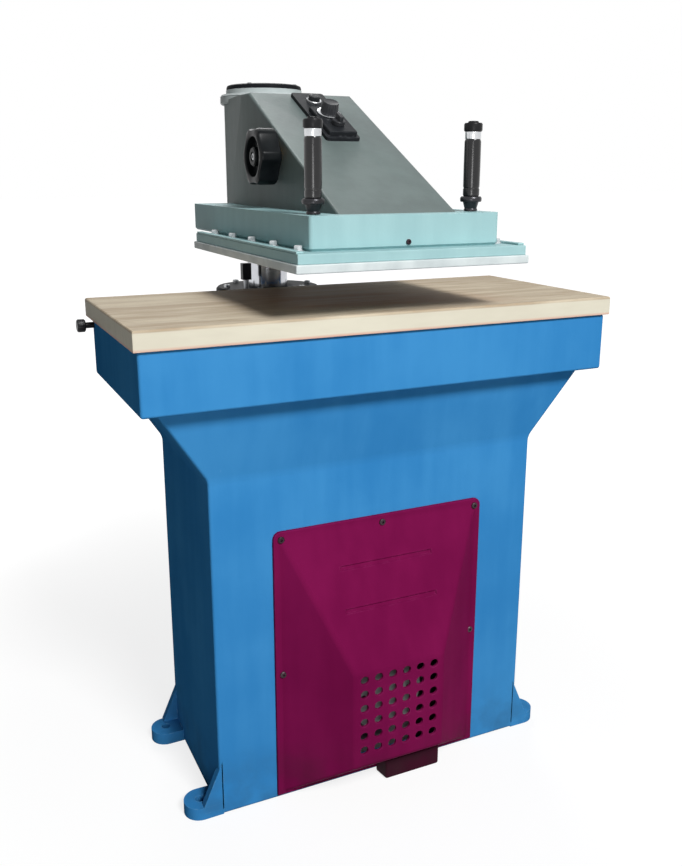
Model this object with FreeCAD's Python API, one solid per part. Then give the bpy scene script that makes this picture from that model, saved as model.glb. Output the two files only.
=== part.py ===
import FreeCAD, Part
import math
import os

# Hydraulic swing-arm die cutting press, in millimetres.
# +X is to the operator's right, +Y to the rear and +Z up.
# The origin lies on the floor, in the middle of the four floor bolts.

# Pedestal and table casting
pedestal_width = 652.0
pedestal_depth = 310.0
table_height = 889.0
table_apron_height = 105.0
haunch_rise = 136.0
table_front_overhang = 56.0
table_lip = 28.0
casting_wall = 14.0
table_plate = 28.0
casting_edge_radius = 9.0
haunch_foot_radius = 26.0
haunch_head_radius = 12.0

# Floor ears of the pedestal
ear_reach = 30.0
ear_radius = 30.0
ear_thickness = 24.0
ear_inset = 30.0
floor_bolt_radius = 9.0
gusset_height = 86.0
gusset_thickness = 14.0

# Cutting board
board_width = 900.0
board_depth = 400.0
board_thickness = 34.0
board_front_overhang = 6.0
board_side_overhang = 7.0
board_edge = 4.0

# Board lock knob on the left end of the table
lock_knob_radius = 12.0
lock_knob_length = 15.0
lock_stem_radius = 5.5
lock_stem_show = 16.0
lock_drop = 11.0
lock_from_back = 14.0
lock_depth = 20.0

# Service cover with its wedge and grille
cover_width = 428.0
cover_height = 532.0
cover_floor_gap = 8.0
cover_plate = 6.0
cover_corner = 14.0
cover_wall = 5.0
wedge_margin = 20.0
wedge_reach = 79.0
wedge_flat_width = 184.0
wedge_flat_height = 174.0
wedge_floor_gap = 100.0
wedge_under_rise = 10.0
wedge_edge_radius = 6.0
vent_count = 6
vent_pitch = 29.0
vent_radius = 7.0
name_recess_width = 190.0
name_recess_height = 78.0
name_recess_depth = 1.5
name_recess_drop = 114.0
cover_lap = 29.0
cover_screw_radius = 5.0
cover_screw_head = 4.0
cover_screw_shank = 3.0
cover_screw_inset = 14.0
cover_screw_spacing = 264.0
screw_clearance = 0.4
toe_width = 130.0
toe_offset = 57.0
toe_height = 40.0
toe_reach = 34.0
toe_taper = 6.0

# Rear housing that guides the column
column_back = 416.0
column_radius = 45.0
housing_radius = 110.0
housing_drop = 9.0
housing_floor = 40.0
housing_web_width = 150.0
housing_web_drop = 34.0
housing_web_bottom = 60.0
housing_web_wall = 16.0
housing_flange_width = 280.0
housing_flange_thickness = 20.0
housing_bolt_radius = 8.0
housing_bolt_head = 10.0
housing_bolt_rows = 4
housing_bolt_margin = 24.0
running_clearance = 0.05
bush_wall = 13.0
upper_bush_length = 120.0
lower_bush_length = 100.0
gland_radius = 118.0
gland_thickness = 17.0
gland_bolt_count = 6
gland_bolt_ring = 98.0
gland_bolt_radius = 7.0
gland_bolt_head = 7.0

# Hydraulic cylinder in the housing
liner_radius = 62.0
liner_wall = 13.0
liner_length = 360.0
cylinder_gland_length = 20.0
piston_length = 60.0
piston_rest_height = 250.0
piston_ring_width = 6.0
piston_ring_depth = 5.0
piston_ring_inset = 12.0

# Column above the gland and the seat of the swing arm
thrust_collar_radius = 62.0
thrust_collar_length = 14.0
thrust_washer_thickness = 6.0
thrust_gap = 0.3
column_nut_radius = 60.0
column_nut_length = 14.0

# Swing arm casting: beam, ramp body and hub
daylight_height = 77.0
arm_reach = 656.0
beam_thickness = 54.0
beam_width = 348.0
beam_hub_gap = 25.0
beam_corner_radius = 6.0
beam_groove_depth = 4.0
ramp_width = 220.0
ramp_setback = 31.0
ramp_run = 416.0
ramp_rise = 214.0
arm_taper_length = 166.0
arm_edge_radius = 5.0
arm_wall = 14.0
arm_rib_thickness = 14.0
arm_nose_length = 59.0
arm_hub_wall = 29.0
hub_radius = 87.0
hub_height = 260.0
hub_bush_length = 80.0
hub_collar_radius = 95.0
hub_collar_height = 20.0
hub_collar_wall = 33.0
hub_seat_gap = 0.5
cap_radius = 82.0
cap_height = 25.0
cap_wall = 5.0
cap_edge_radius = 6.0
cap_screw_count = 4
cap_screw_ring_radius = 72.0
cap_screw_radius = 5.0
cap_screw_head_height = 4.0

# Platen under the beam
carrier_ledge_width = 34.0
carrier_length = 539.0
carrier_thickness = 16.0
plate_rim = 4.0
plate_thickness = 14.0
clamp_bar_width = 12.0
clamp_bar_height = 8.0
clamp_bar_inset = 6.0
clamp_bolt_count = 5
clamp_bolt_radius = 7.0
clamp_bolt_head = 9.0
centre_screw_radius = 4.0
centre_screw_show = 3.0
centre_screw_rise = 10.0

# Operating handles at the front corners of the beam
handle_side_inset = 27.0
handle_front_inset = 47.0
handle_root_radius = 9.0
handle_root_height = 16.0
handle_flange_radius = 18.5
handle_flange_height = 9.0
grip_radius = 14.0
grip_length = 94.0
handle_ring_radius = 13.5
handle_ring_height = 12.0
button_radius = 9.0
button_height = 9.0
button_travel = 4.0
button_stem_radius = 4.0
button_stem_length = 14.0
button_hood_radius = 15.5
button_hood_height = 14.0
button_gap = 0.4

# Depth-setting handwheel on the left side of the arm
wheel_setback = 269.0
wheel_rise = 92.0
wheel_radius = 53.0
wheel_thickness = 40.0
wheel_lobes = 6
wheel_scallop_radius = 90.0
wheel_scallop_depth = 6.0
wheel_dish = 14.0
wheel_dish_radius = 36.0
wheel_hub_radius = 17.0
wheel_stand_off = 8.0
wheel_shaft_radius = 8.0
wheel_boss_radius = 20.0
wheel_boss_length = 26.0
depth_cam_radius = 18.0
depth_cam_offset = 6.0
depth_cam_width = 16.0
cam_gap = 6.0

# Control panel let into the ramp of the arm
panel_width = 68.0
panel_length = 198.0
panel_thickness = 7.0
panel_offset = 8.0
panel_from_top = 8.0
panel_corner = 6.0
panel_deck_length = 108.0
panel_deck_height = 9.0
selector_setback = 36.0
timer_setback = 82.0
start_setback = 158.0
timer_radius = 17.0
timer_height = 20.0
timer_taper = 2.4
timer_skirt_radius = 23.0
timer_skirt_height = 3.0
selector_radius = 12.0
selector_height = 9.0
selector_bar = 7.0
selector_bar_height = 10.0
start_radius = 11.0
start_height = 9.0
start_rim_radius = 15.0
start_rim_height = 4.0
start_travel = 3.0
control_stem_radius = 4.0

# Hydraulic power pack inside the pedestal
shelf_height = 86.0
shelf_thickness = 10.0
shelf_clearance = 1.0
ledge_width = 24.0
ledge_height = 12.0
tank_side_gap = 8.0
tank_end_gap = 10.0
tank_floor = 8.0
tank_wall = 4.0
motor_axis_height = 186.0
motor_radius = 74.0
motor_front = -146.0
motor_length = 166.0
motor_fin_count = 20
motor_fin_height = 7.0
motor_fin_width = 4.0
motor_foot_width = 120.0
motor_foot_length = 110.0
motor_shaft_radius = 12.0
fan_cover_length = 40.0
fan_cover_wall = 2.5
fan_slot_count = 8
fan_slot_radius = 6.0
fan_slot_ring = 48.0
fan_radius = 62.0
fan_blade_count = 7
fan_blade_thickness = 3.0
fan_hub_radius = 22.0
fan_width = 20.0
fan_gap = 8.0
bell_length = 44.0
bell_radius = 66.0
bell_wall = 10.0
coupling_radius = 26.0
coupling_length = 28.0
coupling_gap = 6.0
pump_width = 92.0
pump_length = 48.0
manifold_width = 90.0
manifold_depth = 80.0
manifold_height = 96.0
manifold_offset = -205.0
valve_height = 46.0
valve_width = 50.0
solenoid_radius = 19.0
solenoid_length = 58.0
pipe_radius = 7.0
pipe_bend = 30.0
pressure_pipe_height = 150.0
feed_pipe_height = 350.0
control_box_depth = 160.0
control_box_height = 220.0
control_box_thickness = 78.0
control_box_level = 340.0
control_box_edge = 6.0

# Stroke switch beside the column
switch_post_radius = 6.0
switch_post_height = 58.0
switch_angle = 215.0
switch_ring = 84.0
switch_width = 20.0
switch_height = 36.0
switch_depth = 16.0

# Places worked out from the sizes above
X_AXIS = FreeCAD.Vector(1, 0, 0)
Y_AXIS = FreeCAD.Vector(0, 1, 0)
Z_AXIS = FreeCAD.Vector(0, 0, 1)
half_pedestal = pedestal_width / 2
pedestal_front = -pedestal_depth / 2
pedestal_rear = pedestal_depth / 2
table_width = board_width - board_side_overhang * 2
table_front = pedestal_front - table_front_overhang
table_underside = table_height - table_apron_height
haunch_foot = table_underside - haunch_rise
board_top = table_height + board_thickness
cover_bottom = cover_floor_gap
cover_top = cover_bottom + cover_height
wedge_flat_bottom = wedge_floor_gap
wedge_flat_top = wedge_flat_bottom + wedge_flat_height
housing_top = table_height - housing_drop
housing_web_top = housing_top - housing_web_drop
gland_top = housing_top + gland_thickness
carrier_bottom = board_top + daylight_height + plate_thickness
beam_underside = carrier_bottom + carrier_thickness
beam_top = beam_underside + beam_thickness
beam_front = column_back - arm_reach
beam_back = column_back - beam_hub_gap
arm_top = beam_top + ramp_rise
ramp_foot = beam_front + ramp_setback
ramp_head = ramp_foot + ramp_run
ramp_angle = math.degrees(math.atan2(ramp_rise, ramp_run))
ramp_length = math.hypot(ramp_rise, ramp_run)
arm_waist = column_back - arm_taper_length
arm_hollow_front = ramp_foot + arm_nose_length
arm_hollow_back = column_back - hub_radius - arm_hub_wall
hub_top = beam_underside + hub_height
collar_top = hub_top + hub_collar_height
cap_top = collar_top + cap_height
bore_radius = column_radius + running_clearance
bush_radius = column_radius + bush_wall
carrier_width = beam_width + carrier_ledge_width * 2
carrier_front = beam_front - carrier_ledge_width
carrier_back = carrier_front + carrier_length
handle_spread = beam_width / 2 - handle_side_inset
handle_front = beam_front + handle_front_inset
wheel_back = ramp_foot + wheel_setback
wheel_height = beam_top + wheel_rise
shelf_top = shelf_height + shelf_thickness


def at(x, y, z):
    return FreeCAD.Vector(x, y, z)


def block(x_range, y_range, z_range):
    corner = at(x_range[0], y_range[0], z_range[0])
    spans = [r[1] - r[0] for r in (x_range, y_range, z_range)]
    return Part.makeBox(spans[0], spans[1], spans[2], corner)


def rod(radius, start, length, direction=Z_AXIS):
    return Part.makeCylinder(radius, length, start, direction)


def ring(outer, inner, start, length, direction=Z_AXIS):
    return rod(outer, start, length, direction).cut(rod(inner, start, length, direction))


def prism(corners, sweep):
    return Part.Face(Part.makePolygon(corners + corners[:1])).extrude(sweep)


def joined(shapes):
    body = shapes[0].multiFuse(shapes[1:])
    return body.removeSplitter()


def upright_edges(shape, keep):
    # Straight edges along Z whose middle passes the given test.
    found = []
    for edge in shape.Edges:
        run = edge.Vertexes[-1].Point - edge.Vertexes[0].Point
        if abs(run.z) > 0.999 * edge.Length and keep(edge.CenterOfMass):
            found.append(edge)
    return found


def round_edges(shape):
    return [edge for edge in shape.Edges if edge.Closed]


def on_ramp(shape):
    # Stands a shape made flat, with its Y up the slope, on the arm's ramp.
    turn = FreeCAD.Rotation(X_AXIS, ramp_angle)
    shape.Placement = FreeCAD.Placement(at(0, ramp_foot, beam_top), turn).multiply(shape.Placement)
    return shape


def rounded_run(points, bends):
    # Straight runs through the points, with a tangent arc at each inner point.
    edges = []
    start = points[0]
    for before, corner, after, bend in zip(points, points[1:], points[2:], bends):
        if bend == 0:
            edges.append(Part.LineSegment(start, corner).toShape())
            start = corner
            continue
        inward = (before - corner).normalize()
        outward = (after - corner).normalize()
        half_turn = inward.getAngle(outward) / 2
        trim = bend / math.tan(half_turn)
        first = corner + inward * trim
        last = corner + outward * trim
        bisector = (inward + outward).normalize()
        middle = corner + bisector * (bend / math.sin(half_turn) - bend)
        edges.append(Part.LineSegment(start, first).toShape())
        edges.append(Part.Arc(first, middle, last).toShape())
        start = last
    edges.append(Part.LineSegment(start, points[-1]).toShape())
    return Part.Wire(edges)


def bent_pipe(points, radius, bend):
    path = rounded_run(points, [bend] * (len(points) - 2))
    mouth = Part.Wire(Part.Circle(points[0], points[1] - points[0], radius).toShape())
    return path.makePipeShell([mouth], True, False)


def haunch(low, high, lip):
    # Corners from the upright wall over the sloping haunch to the table's lip.
    return [low, high, lip], [haunch_foot_radius, haunch_head_radius, 0]


def pedestal_front_view():
    # The front silhouette, run through from front to rear.
    right, bends = haunch(
        at(half_pedestal, table_front, haunch_foot),
        at(table_width / 2 - table_lip, table_front, table_underside),
        at(table_width / 2, table_front, table_underside),
    )
    foot = at(half_pedestal, table_front, 0)
    head = at(table_width / 2, table_front, table_height)
    half = [at(0, table_front, 0), foot] + right + [head]
    other = [at(-p.x, p.y, p.z) for p in reversed(half)]
    outline = rounded_run(half + other, [0] + bends + [0, 0] + bends[::-1] + [0])
    return Part.Face(outline).extrude(at(0, pedestal_rear - table_front, 0))


def pedestal_side_view():
    # The side silhouette, run through from left to right.
    x = -table_width / 2
    front, bends = haunch(
        at(x, pedestal_front, haunch_foot),
        at(x, table_front + table_lip, table_underside),
        at(x, table_front, table_underside),
    )
    start = at(x, 0, 0)
    points = [start, at(x, pedestal_front, 0)] + front
    points += [at(x, table_front, table_height), at(x, pedestal_rear, table_height)]
    points += [at(x, pedestal_rear, 0), start]
    outline = rounded_run(points, [0] + bends + [0, 0, 0])
    return Part.Face(outline).extrude(at(table_width, 0, 0))


def floor_ear(side, end):
    # A round lug with a bolt hole and an upright gusset against the pedestal.
    centre_x = side * (half_pedestal + ear_reach)
    centre_y = end * (pedestal_rear - ear_inset)
    inner_x = side * (half_pedestal - casting_wall / 2)
    neck_y = (centre_y - ear_radius, centre_y + ear_radius)
    neck = block(sorted((inner_x, centre_x)), neck_y, (0, ear_thickness))
    pad = rod(ear_radius, at(centre_x, centre_y, 0), ear_thickness)
    rib_y = centre_y + end * (ear_radius - gusset_thickness)
    rib_y = min(rib_y, rib_y + end * gusset_thickness)
    rib = prism(
        [
            at(inner_x, rib_y, ear_thickness / 2),
            at(centre_x, rib_y, ear_thickness / 2),
            at(centre_x, rib_y, ear_thickness),
            at(side * half_pedestal, rib_y, ear_thickness + gusset_height),
            at(inner_x, rib_y, ear_thickness + gusset_height),
        ],
        at(0, gusset_thickness, 0),
    )
    lug = joined([neck, pad, rib])
    return lug.cut(rod(floor_bolt_radius, at(centre_x, centre_y, 0), ear_thickness))


def frame_casting():
    body = pedestal_front_view().common(pedestal_side_view())
    corner_x = half_pedestal - casting_edge_radius

    def outer_corner(point):
        return abs(point.x) > corner_x and point.y < 0 and point.z > 0

    body = body.makeFillet(casting_edge_radius, upright_edges(body, outer_corner))
    inner_x = half_pedestal - casting_wall
    inner_y = (pedestal_front + casting_wall, pedestal_rear - casting_wall)
    bay = block((-inner_x, inner_x), inner_y, (0, table_underside + casting_wall))
    head_x = table_width / 2 - casting_wall
    head_y = (table_front + casting_wall, pedestal_rear - casting_wall)
    head = block((-head_x, head_x), head_y, (table_underside + casting_wall, table_height - table_plate))
    window_x = cover_width / 2 - cover_lap
    window_y = (pedestal_front - casting_wall, pedestal_front + casting_wall)
    window_z = (cover_bottom + cover_lap, cover_top - cover_lap)
    window = block((-window_x, window_x), window_y, window_z)
    body = body.cut(bay.fuse(head)).cut(window)
    ledges = []
    for side in (-1, 1):
        ledge_x = sorted((side * inner_x, side * (inner_x - ledge_width)))
        ledges.append(block(ledge_x, inner_y, (shelf_height - ledge_height, shelf_height)))
    ears = [floor_ear(side, end) for side in (-1, 1) for end in (-1, 1)]
    ears = [ear.cut(bay) for ear in ears]
    body = joined([body] + ledges + ears)
    start, stem = lock_axis()
    body = body.cut(rod(lock_stem_radius + running_clearance, start, stem, X_AXIS))
    body = body.cut(feed_hole())
    for start in cover_screw_places():
        body = body.cut(rod(cover_screw_shank, start, cover_plate + casting_wall, Y_AXIS))
    return body


def lock_axis():
    # Outer end and length of the lock knob's stem, which turns in the end of the table plate.
    y = pedestal_rear - lock_from_back
    z = table_height - lock_drop
    return at(-table_width / 2 - lock_stem_show, y, z), lock_stem_show + lock_depth


def board_lock_knob():
    start, reach = lock_axis()
    stem = rod(lock_stem_radius, start, reach, X_AXIS)
    head = rod(lock_knob_radius, start - X_AXIS * lock_knob_length, lock_knob_length, X_AXIS)
    head = head.makeChamfer(lock_knob_length / 6, round_edges(head))
    return joined([head, stem])


def cutting_board():
    front = table_front - board_front_overhang
    slab = block(
        (-board_width / 2, board_width / 2), (front, front + board_depth), (table_height, board_top)
    )
    top_edges = [e for e in slab.Edges if e.CenterOfMass.z > board_top - board_edge]
    return slab.makeFillet(board_edge, top_edges)


def wedge_body(inset):
    # The bulge of the cover: its plan run upwards, cut by its side view run across.
    front = pedestal_front - cover_plate - wedge_reach + inset
    foot = pedestal_front - cover_plate
    wide = cover_width / 2 - wedge_margin - inset
    narrow = wedge_flat_width / 2 - inset / 2
    top = cover_top - wedge_margin - inset * 2
    bottom = wedge_flat_bottom + inset
    plan = prism(
        [at(-wide, pedestal_front, 0), at(-wide, foot, 0), at(-narrow, front, 0)]
        + [at(narrow, front, 0), at(wide, foot, 0), at(wide, pedestal_front, 0)],
        at(0, 0, cover_top),
    )
    side = prism(
        [at(-wide, pedestal_front, top), at(-wide, foot, top), at(-wide, front, wedge_flat_top - inset / 2)]
        + [at(-wide, front, bottom), at(-wide, pedestal_front, bottom - wedge_under_rise)],
        at(wide * 2, 0, 0),
    )
    return plan.common(side)


def cover_screw_places():
    # Start points of the screws, on the face of the cover's plate.
    y = pedestal_front - cover_plate
    edge = cover_width / 2 - cover_screw_inset
    high = cover_top - cover_screw_inset
    low = high - cover_screw_spacing
    spots = [(-edge, high), (0, high), (edge, high), (-edge, low), (edge, low)]
    return [at(x, y, z) for x, z in spots]


def service_cover():
    half = cover_width / 2
    plate = block((-half, half), (pedestal_front - cover_plate, pedestal_front), (cover_bottom, cover_top))
    upper = [e for e in plate.Edges if e.CenterOfMass.z > cover_top - cover_corner]
    corners = [e for e in upper if abs(e.tangentAt(e.FirstParameter).y) > 0.9]
    plate = plate.makeFillet(cover_corner, corners)
    wedge = wedge_body(0)
    ridges = [e for e in wedge.Edges if e.BoundBox.YMin < pedestal_front - cover_plate - wedge_reach / 2]
    wedge = wedge.makeFillet(wedge_edge_radius, ridges)
    cover = joined([plate, wedge])
    cover = cover.cut(wedge_body(cover_wall))
    face_y = pedestal_front - cover_plate - wedge_reach
    first_x = -vent_pitch * (vent_count - 1) / 2
    middle_z = (wedge_flat_top + wedge_flat_bottom) / 2
    vents = []
    for column in range(vent_count):
        for row in range(vent_count):
            x = first_x + column * vent_pitch
            z = middle_z + first_x + row * vent_pitch
            vents.append(rod(vent_radius, at(x, face_y - cover_wall, z), cover_wall * 3, Y_AXIS))
    cover = cover.cut(Part.makeCompound(vents))
    slope = (cover_top - wedge_margin - wedge_flat_top) / wedge_reach
    lean = math.degrees(math.atan2(1, slope))
    recess_z = cover_top - name_recess_drop
    recess_y = pedestal_front - cover_plate - (cover_top - wedge_margin - recess_z) / slope
    half_x, half_z = name_recess_width / 2, name_recess_height / 2
    tray = block((-half_x, half_x), (-name_recess_depth * 4, name_recess_depth), (-half_z, half_z))
    tray.Placement = FreeCAD.Placement(at(0, recess_y, recess_z), FreeCAD.Rotation(X_AXIS, -lean))
    cover = cover.cut(tray)
    for start in cover_screw_places():
        hole = rod(cover_screw_shank + screw_clearance, start, cover_plate, Y_AXIS)
        cover = cover.cut(hole)
    return cover


def cover_screws():
    screws = []
    for start in cover_screw_places():
        head = rod(cover_screw_radius, start - Y_AXIS * cover_screw_head, cover_screw_head, Y_AXIS)
        outer = [e for e in round_edges(head) if e.CenterOfMass.y < start.y - cover_screw_head / 2]
        head = head.makeChamfer(cover_screw_head / 3, outer)
        shank = rod(cover_screw_shank, start, cover_plate + casting_wall, Y_AXIS)
        screws.append(joined([head, shank]))
    return Part.makeCompound(screws)


def cover_toe():
    # The step moulded under the wedge, narrower at its nose, that stands on the floor.
    back = pedestal_front - cover_plate
    front = back - toe_reach
    low_x, high_x = toe_offset - toe_width / 2, toe_offset + toe_width / 2
    corners = [at(low_x, back, 0), at(low_x + toe_taper, front, 0)]
    corners += [at(high_x - toe_taper, front, 0), at(high_x, back, 0)]
    step = prism(corners, at(0, 0, toe_height))
    nose = [e for e in step.Edges if e.BoundBox.YMax < front + toe_taper and e.BoundBox.ZMin > toe_height / 2]
    return step.makeFillet(toe_taper, nose)


def housing_bolt_places():
    rows = housing_bolt_rows - 1
    low = housing_web_bottom + housing_bolt_margin
    high = housing_web_top - housing_bolt_margin
    edge = housing_flange_width / 2 - housing_bolt_margin
    levels = [low + (high - low) * row / rows for row in range(housing_bolt_rows)]
    return [at(side * edge, pedestal_rear + housing_flange_thickness, z) for z in levels for side in (-1, 1)]


def feed_hole():
    # Way of the pressure oil from the valve block through the walls to the cylinder.
    start = at(0, 0, feed_pipe_height)
    return rod(pipe_radius + running_clearance, start, column_back - liner_radius, Y_AXIS)


def web_pocket():
    # The web is cored from below, between its two side walls.
    half = housing_web_width / 2 - housing_web_wall
    y_range = (pedestal_rear + housing_flange_thickness, column_back - housing_radius)
    return block((-half, half), y_range, (housing_web_bottom, housing_web_top - housing_web_wall))


def rear_column_housing():
    barrel = rod(housing_radius, at(0, column_back, 0), housing_top)
    web_y = (pedestal_rear, column_back)
    web = block((-housing_web_width / 2, housing_web_width / 2), web_y, (housing_web_bottom, housing_web_top))
    flange = block(
        (-housing_flange_width / 2, housing_flange_width / 2),
        (pedestal_rear, pedestal_rear + housing_flange_thickness),
        (housing_web_bottom, housing_web_top),
    )
    body = joined([barrel, web, flange]).cut(web_pocket())
    bush_bore = rod(bush_radius, at(0, column_back, housing_floor), housing_top - housing_floor)
    liner_seat = rod(
        liner_radius + liner_wall, at(0, column_back, housing_floor), liner_length + cylinder_gland_length
    )
    body = body.cut(bush_bore.fuse(liner_seat)).cut(feed_hole())
    for start in gland_bolt_places():
        body = body.cut(rod(gland_bolt_radius / 2, start - Z_AXIS * gland_thickness * 2, gland_thickness * 2))
    post = switch_place()
    return body.cut(rod(switch_post_radius, post - Z_AXIS * gland_thickness * 2, gland_thickness * 2))


def housing_bolts():
    bolts = []
    for start in housing_bolt_places():
        head = Part.Face(Part.makePolygon(hexagon(start, housing_bolt_radius * 1.5, Y_AXIS)))
        bolts.append(head.extrude(at(0, housing_bolt_head, 0)))
    return Part.makeCompound(bolts)


def hexagon(centre, radius, axis):
    corners = []
    for step in range(7):
        angle = math.radians(60 * step)
        across, up = radius * math.cos(angle), radius * math.sin(angle)
        offset = at(across, up, 0) if axis == Z_AXIS else at(across, 0, up)
        corners.append(centre + offset)
    return corners


def gland_bolt_places():
    places = []
    for step in range(gland_bolt_count):
        angle = math.radians(360 / gland_bolt_count * step)
        x = gland_bolt_ring * math.cos(angle)
        y = column_back + gland_bolt_ring * math.sin(angle)
        places.append(at(x, y, gland_top))
    return places


def switch_place():
    angle = math.radians(switch_angle)
    x = switch_ring * math.cos(angle)
    return at(x, column_back + switch_ring * math.sin(angle), gland_top)


def column_gland():
    start = at(0, column_back, housing_top)
    disc = ring(gland_radius, bore_radius, start, gland_thickness)
    upper = [e for e in round_edges(disc) if e.CenterOfMass.z > housing_top]
    disc = disc.makeChamfer(gland_thickness / 4, [e for e in upper if e.BoundBox.XLength > gland_radius])
    for place in gland_bolt_places():
        disc = disc.cut(rod(gland_bolt_radius / 2, place - Z_AXIS * gland_thickness, gland_thickness))
    return disc.cut(rod(switch_post_radius, switch_place() - Z_AXIS * gland_thickness, gland_thickness))


def gland_bolts():
    bolts = []
    for place in gland_bolt_places():
        head = rod(gland_bolt_radius, place, gland_bolt_head)
        shank = rod(gland_bolt_radius / 2, place - Z_AXIS * gland_thickness * 2, gland_thickness * 2)
        bolts.append(joined([head, shank]))
    return Part.makeCompound(bolts)


def switch_post():
    reach = gland_thickness * 2
    return rod(switch_post_radius, switch_place() - Z_AXIS * reach, reach + switch_post_height)


def stroke_switch():
    # A switch box clamped round its post, with a roller arm towards the column.
    post = switch_place()
    bottom = post.z + switch_post_height - switch_height
    body = block(
        (post.x - switch_width / 2, post.x + switch_width / 2),
        (post.y - switch_depth / 2, post.y + switch_depth / 2),
        (bottom, bottom + switch_height),
    )
    return body.cut(rod(switch_post_radius, post, switch_post_height))


def upper_column_bush():
    start = at(0, column_back, housing_top - upper_bush_length)
    return ring(bush_radius, bore_radius, start, upper_bush_length)


def liner_top():
    return housing_floor + liner_length


def lower_column_bush():
    start = at(0, column_back, liner_top() + cylinder_gland_length)
    return ring(bush_radius, bore_radius, start, lower_bush_length)


def cylinder_gland():
    start = at(0, column_back, liner_top())
    return ring(liner_radius + liner_wall, bore_radius, start, cylinder_gland_length)


def cylinder_liner():
    start = at(0, column_back, housing_floor)
    tube = ring(liner_radius + liner_wall, liner_radius, start, liner_length)
    return tube.cut(feed_hole())


def column_shoulder():
    return beam_underside - thrust_gap - thrust_washer_thickness - thrust_collar_length


def column_post():
    # Ground post from the piston to the nut, with the collar that carries the arm.
    bottom = piston_rest_height + piston_length
    top = hub_top + thrust_gap + column_nut_length
    post = rod(column_radius, at(0, column_back, bottom), top - bottom)
    collar = rod(thrust_collar_radius, at(0, column_back, column_shoulder()), thrust_collar_length)
    return joined([post, collar])


def thrust_washer():
    start = at(0, column_back, column_shoulder() + thrust_collar_length)
    return ring(thrust_collar_radius, column_radius, start, thrust_washer_thickness)


def column_nut():
    centre = at(0, column_back, hub_top + thrust_gap)
    nut = Part.Face(Part.makePolygon(hexagon(centre, column_nut_radius, Z_AXIS)))
    nut = nut.extrude(at(0, 0, column_nut_length))
    return nut.cut(rod(column_radius, centre, column_nut_length))


def piston_ring_levels():
    low = piston_rest_height + piston_ring_inset
    return [low, piston_rest_height + piston_length - piston_ring_inset - piston_ring_width]


def piston():
    disc = rod(liner_radius - running_clearance, at(0, column_back, piston_rest_height), piston_length)
    for level in piston_ring_levels():
        start = at(0, column_back, level)
        disc = disc.cut(ring(liner_radius, liner_radius - piston_ring_depth, start, piston_ring_width))
    return disc


def piston_rings():
    rings = []
    for level in piston_ring_levels():
        start = at(0, column_back, level)
        outer = liner_radius - running_clearance
        rings.append(ring(outer, liner_radius - piston_ring_depth, start, piston_ring_width))
    return Part.makeCompound(rings)


def arm_plan():
    # Plan of the ramp body: straight flanks that close in to the hub's round back.
    half = ramp_width / 2
    flanks = [(half, ramp_foot), (half, arm_waist), (hub_radius, column_back)]
    corners = [at(x, y, beam_underside) for x, y in flanks]
    corners += [at(-x, y, beam_underside) for x, y in reversed(flanks)]
    rise = arm_top - beam_underside
    return joined([prism(corners, at(0, 0, rise)), rod(hub_radius, at(0, column_back, beam_underside), rise)])


def ramp_profile(drop, front, back):
    # Side view under the ramp, run across the arm.
    half = ramp_width / 2
    rise = (arm_top - beam_top) / (ramp_head - ramp_foot)
    slope_drop = drop / math.cos(math.radians(ramp_angle))
    front_top = beam_top + (front - ramp_foot) * rise - slope_drop
    head_y = ramp_head + (slope_drop - drop) / rise
    corners = [at(-half, front, beam_underside), at(-half, front, front_top)]
    corners += [at(-half, head_y, arm_top - drop), at(-half, back, arm_top - drop)]
    corners += [at(-half, back, beam_underside)]
    return prism(corners, at(ramp_width, 0, 0))


def ramp_rim(body):
    # The long upper edges of the ramp body, along the slope and the flat flanks.
    rims = []
    for edge in body.Edges:
        run = edge.Vertexes[-1].Point - edge.Vertexes[0].Point
        lengthwise = abs(run.y) > abs(run.x) and edge.BoundBox.ZMax > beam_top
        if lengthwise and edge.BoundBox.YMax < arm_waist + arm_edge_radius:
            rims.append(edge)
    return rims


def arm_hollow(side):
    # One of the two pockets under the ramp, beside the rib in the middle.
    pocket = block(
        sorted((side * arm_rib_thickness / 2, side * (ramp_width / 2 - arm_wall))),
        (arm_hollow_front, arm_hollow_back),
        (beam_underside, arm_top),
    )
    return pocket.common(ramp_profile(arm_wall, arm_hollow_front, arm_hollow_back))


def arm_casting():
    body = arm_plan().common(ramp_profile(0, ramp_foot, column_back + hub_radius))
    body = body.makeFillet(arm_edge_radius, ramp_rim(body))
    beam = block((-beam_width / 2, beam_width / 2), (beam_front, beam_back), (beam_underside, beam_top))
    beam = beam.makeFillet(beam_corner_radius, upright_edges(beam, lambda point: True))
    lower = [e for e in beam.Edges if e.BoundBox.ZMax < beam_underside + beam_groove_depth]
    beam = beam.makeChamfer(beam_groove_depth, lower)
    body = joined([body, beam])
    for side in (-1, 1):
        body = body.cut(arm_hollow(side))
    crown = rod(hub_collar_radius + hub_seat_gap, at(0, column_back, hub_top), arm_top)
    bush_seat = rod(bush_radius, at(0, column_back, beam_underside), arm_top)
    body = body.cut(crown).cut(bush_seat)
    wheel_start, wheel_run = wheel_axis()
    body = body.cut(rod(wheel_boss_radius, wheel_start, wheel_boss_length, X_AXIS))
    for x in (-handle_spread, handle_spread):
        foot = at(x, handle_front, beam_top - handle_root_height)
        body = body.cut(rod(handle_root_radius, foot, handle_root_height))
    body = body.cut(centre_screw())
    for level, face in controls():
        body = body.cut(on_ramp(control_bore(level, face)))
    return body


def hub_lower_bush():
    return ring(bush_radius, bore_radius, at(0, column_back, beam_underside), hub_bush_length)


def hub_upper_bush():
    start = at(0, column_back, hub_top - hub_bush_length)
    return ring(bush_radius, bore_radius, start, hub_bush_length)


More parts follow.
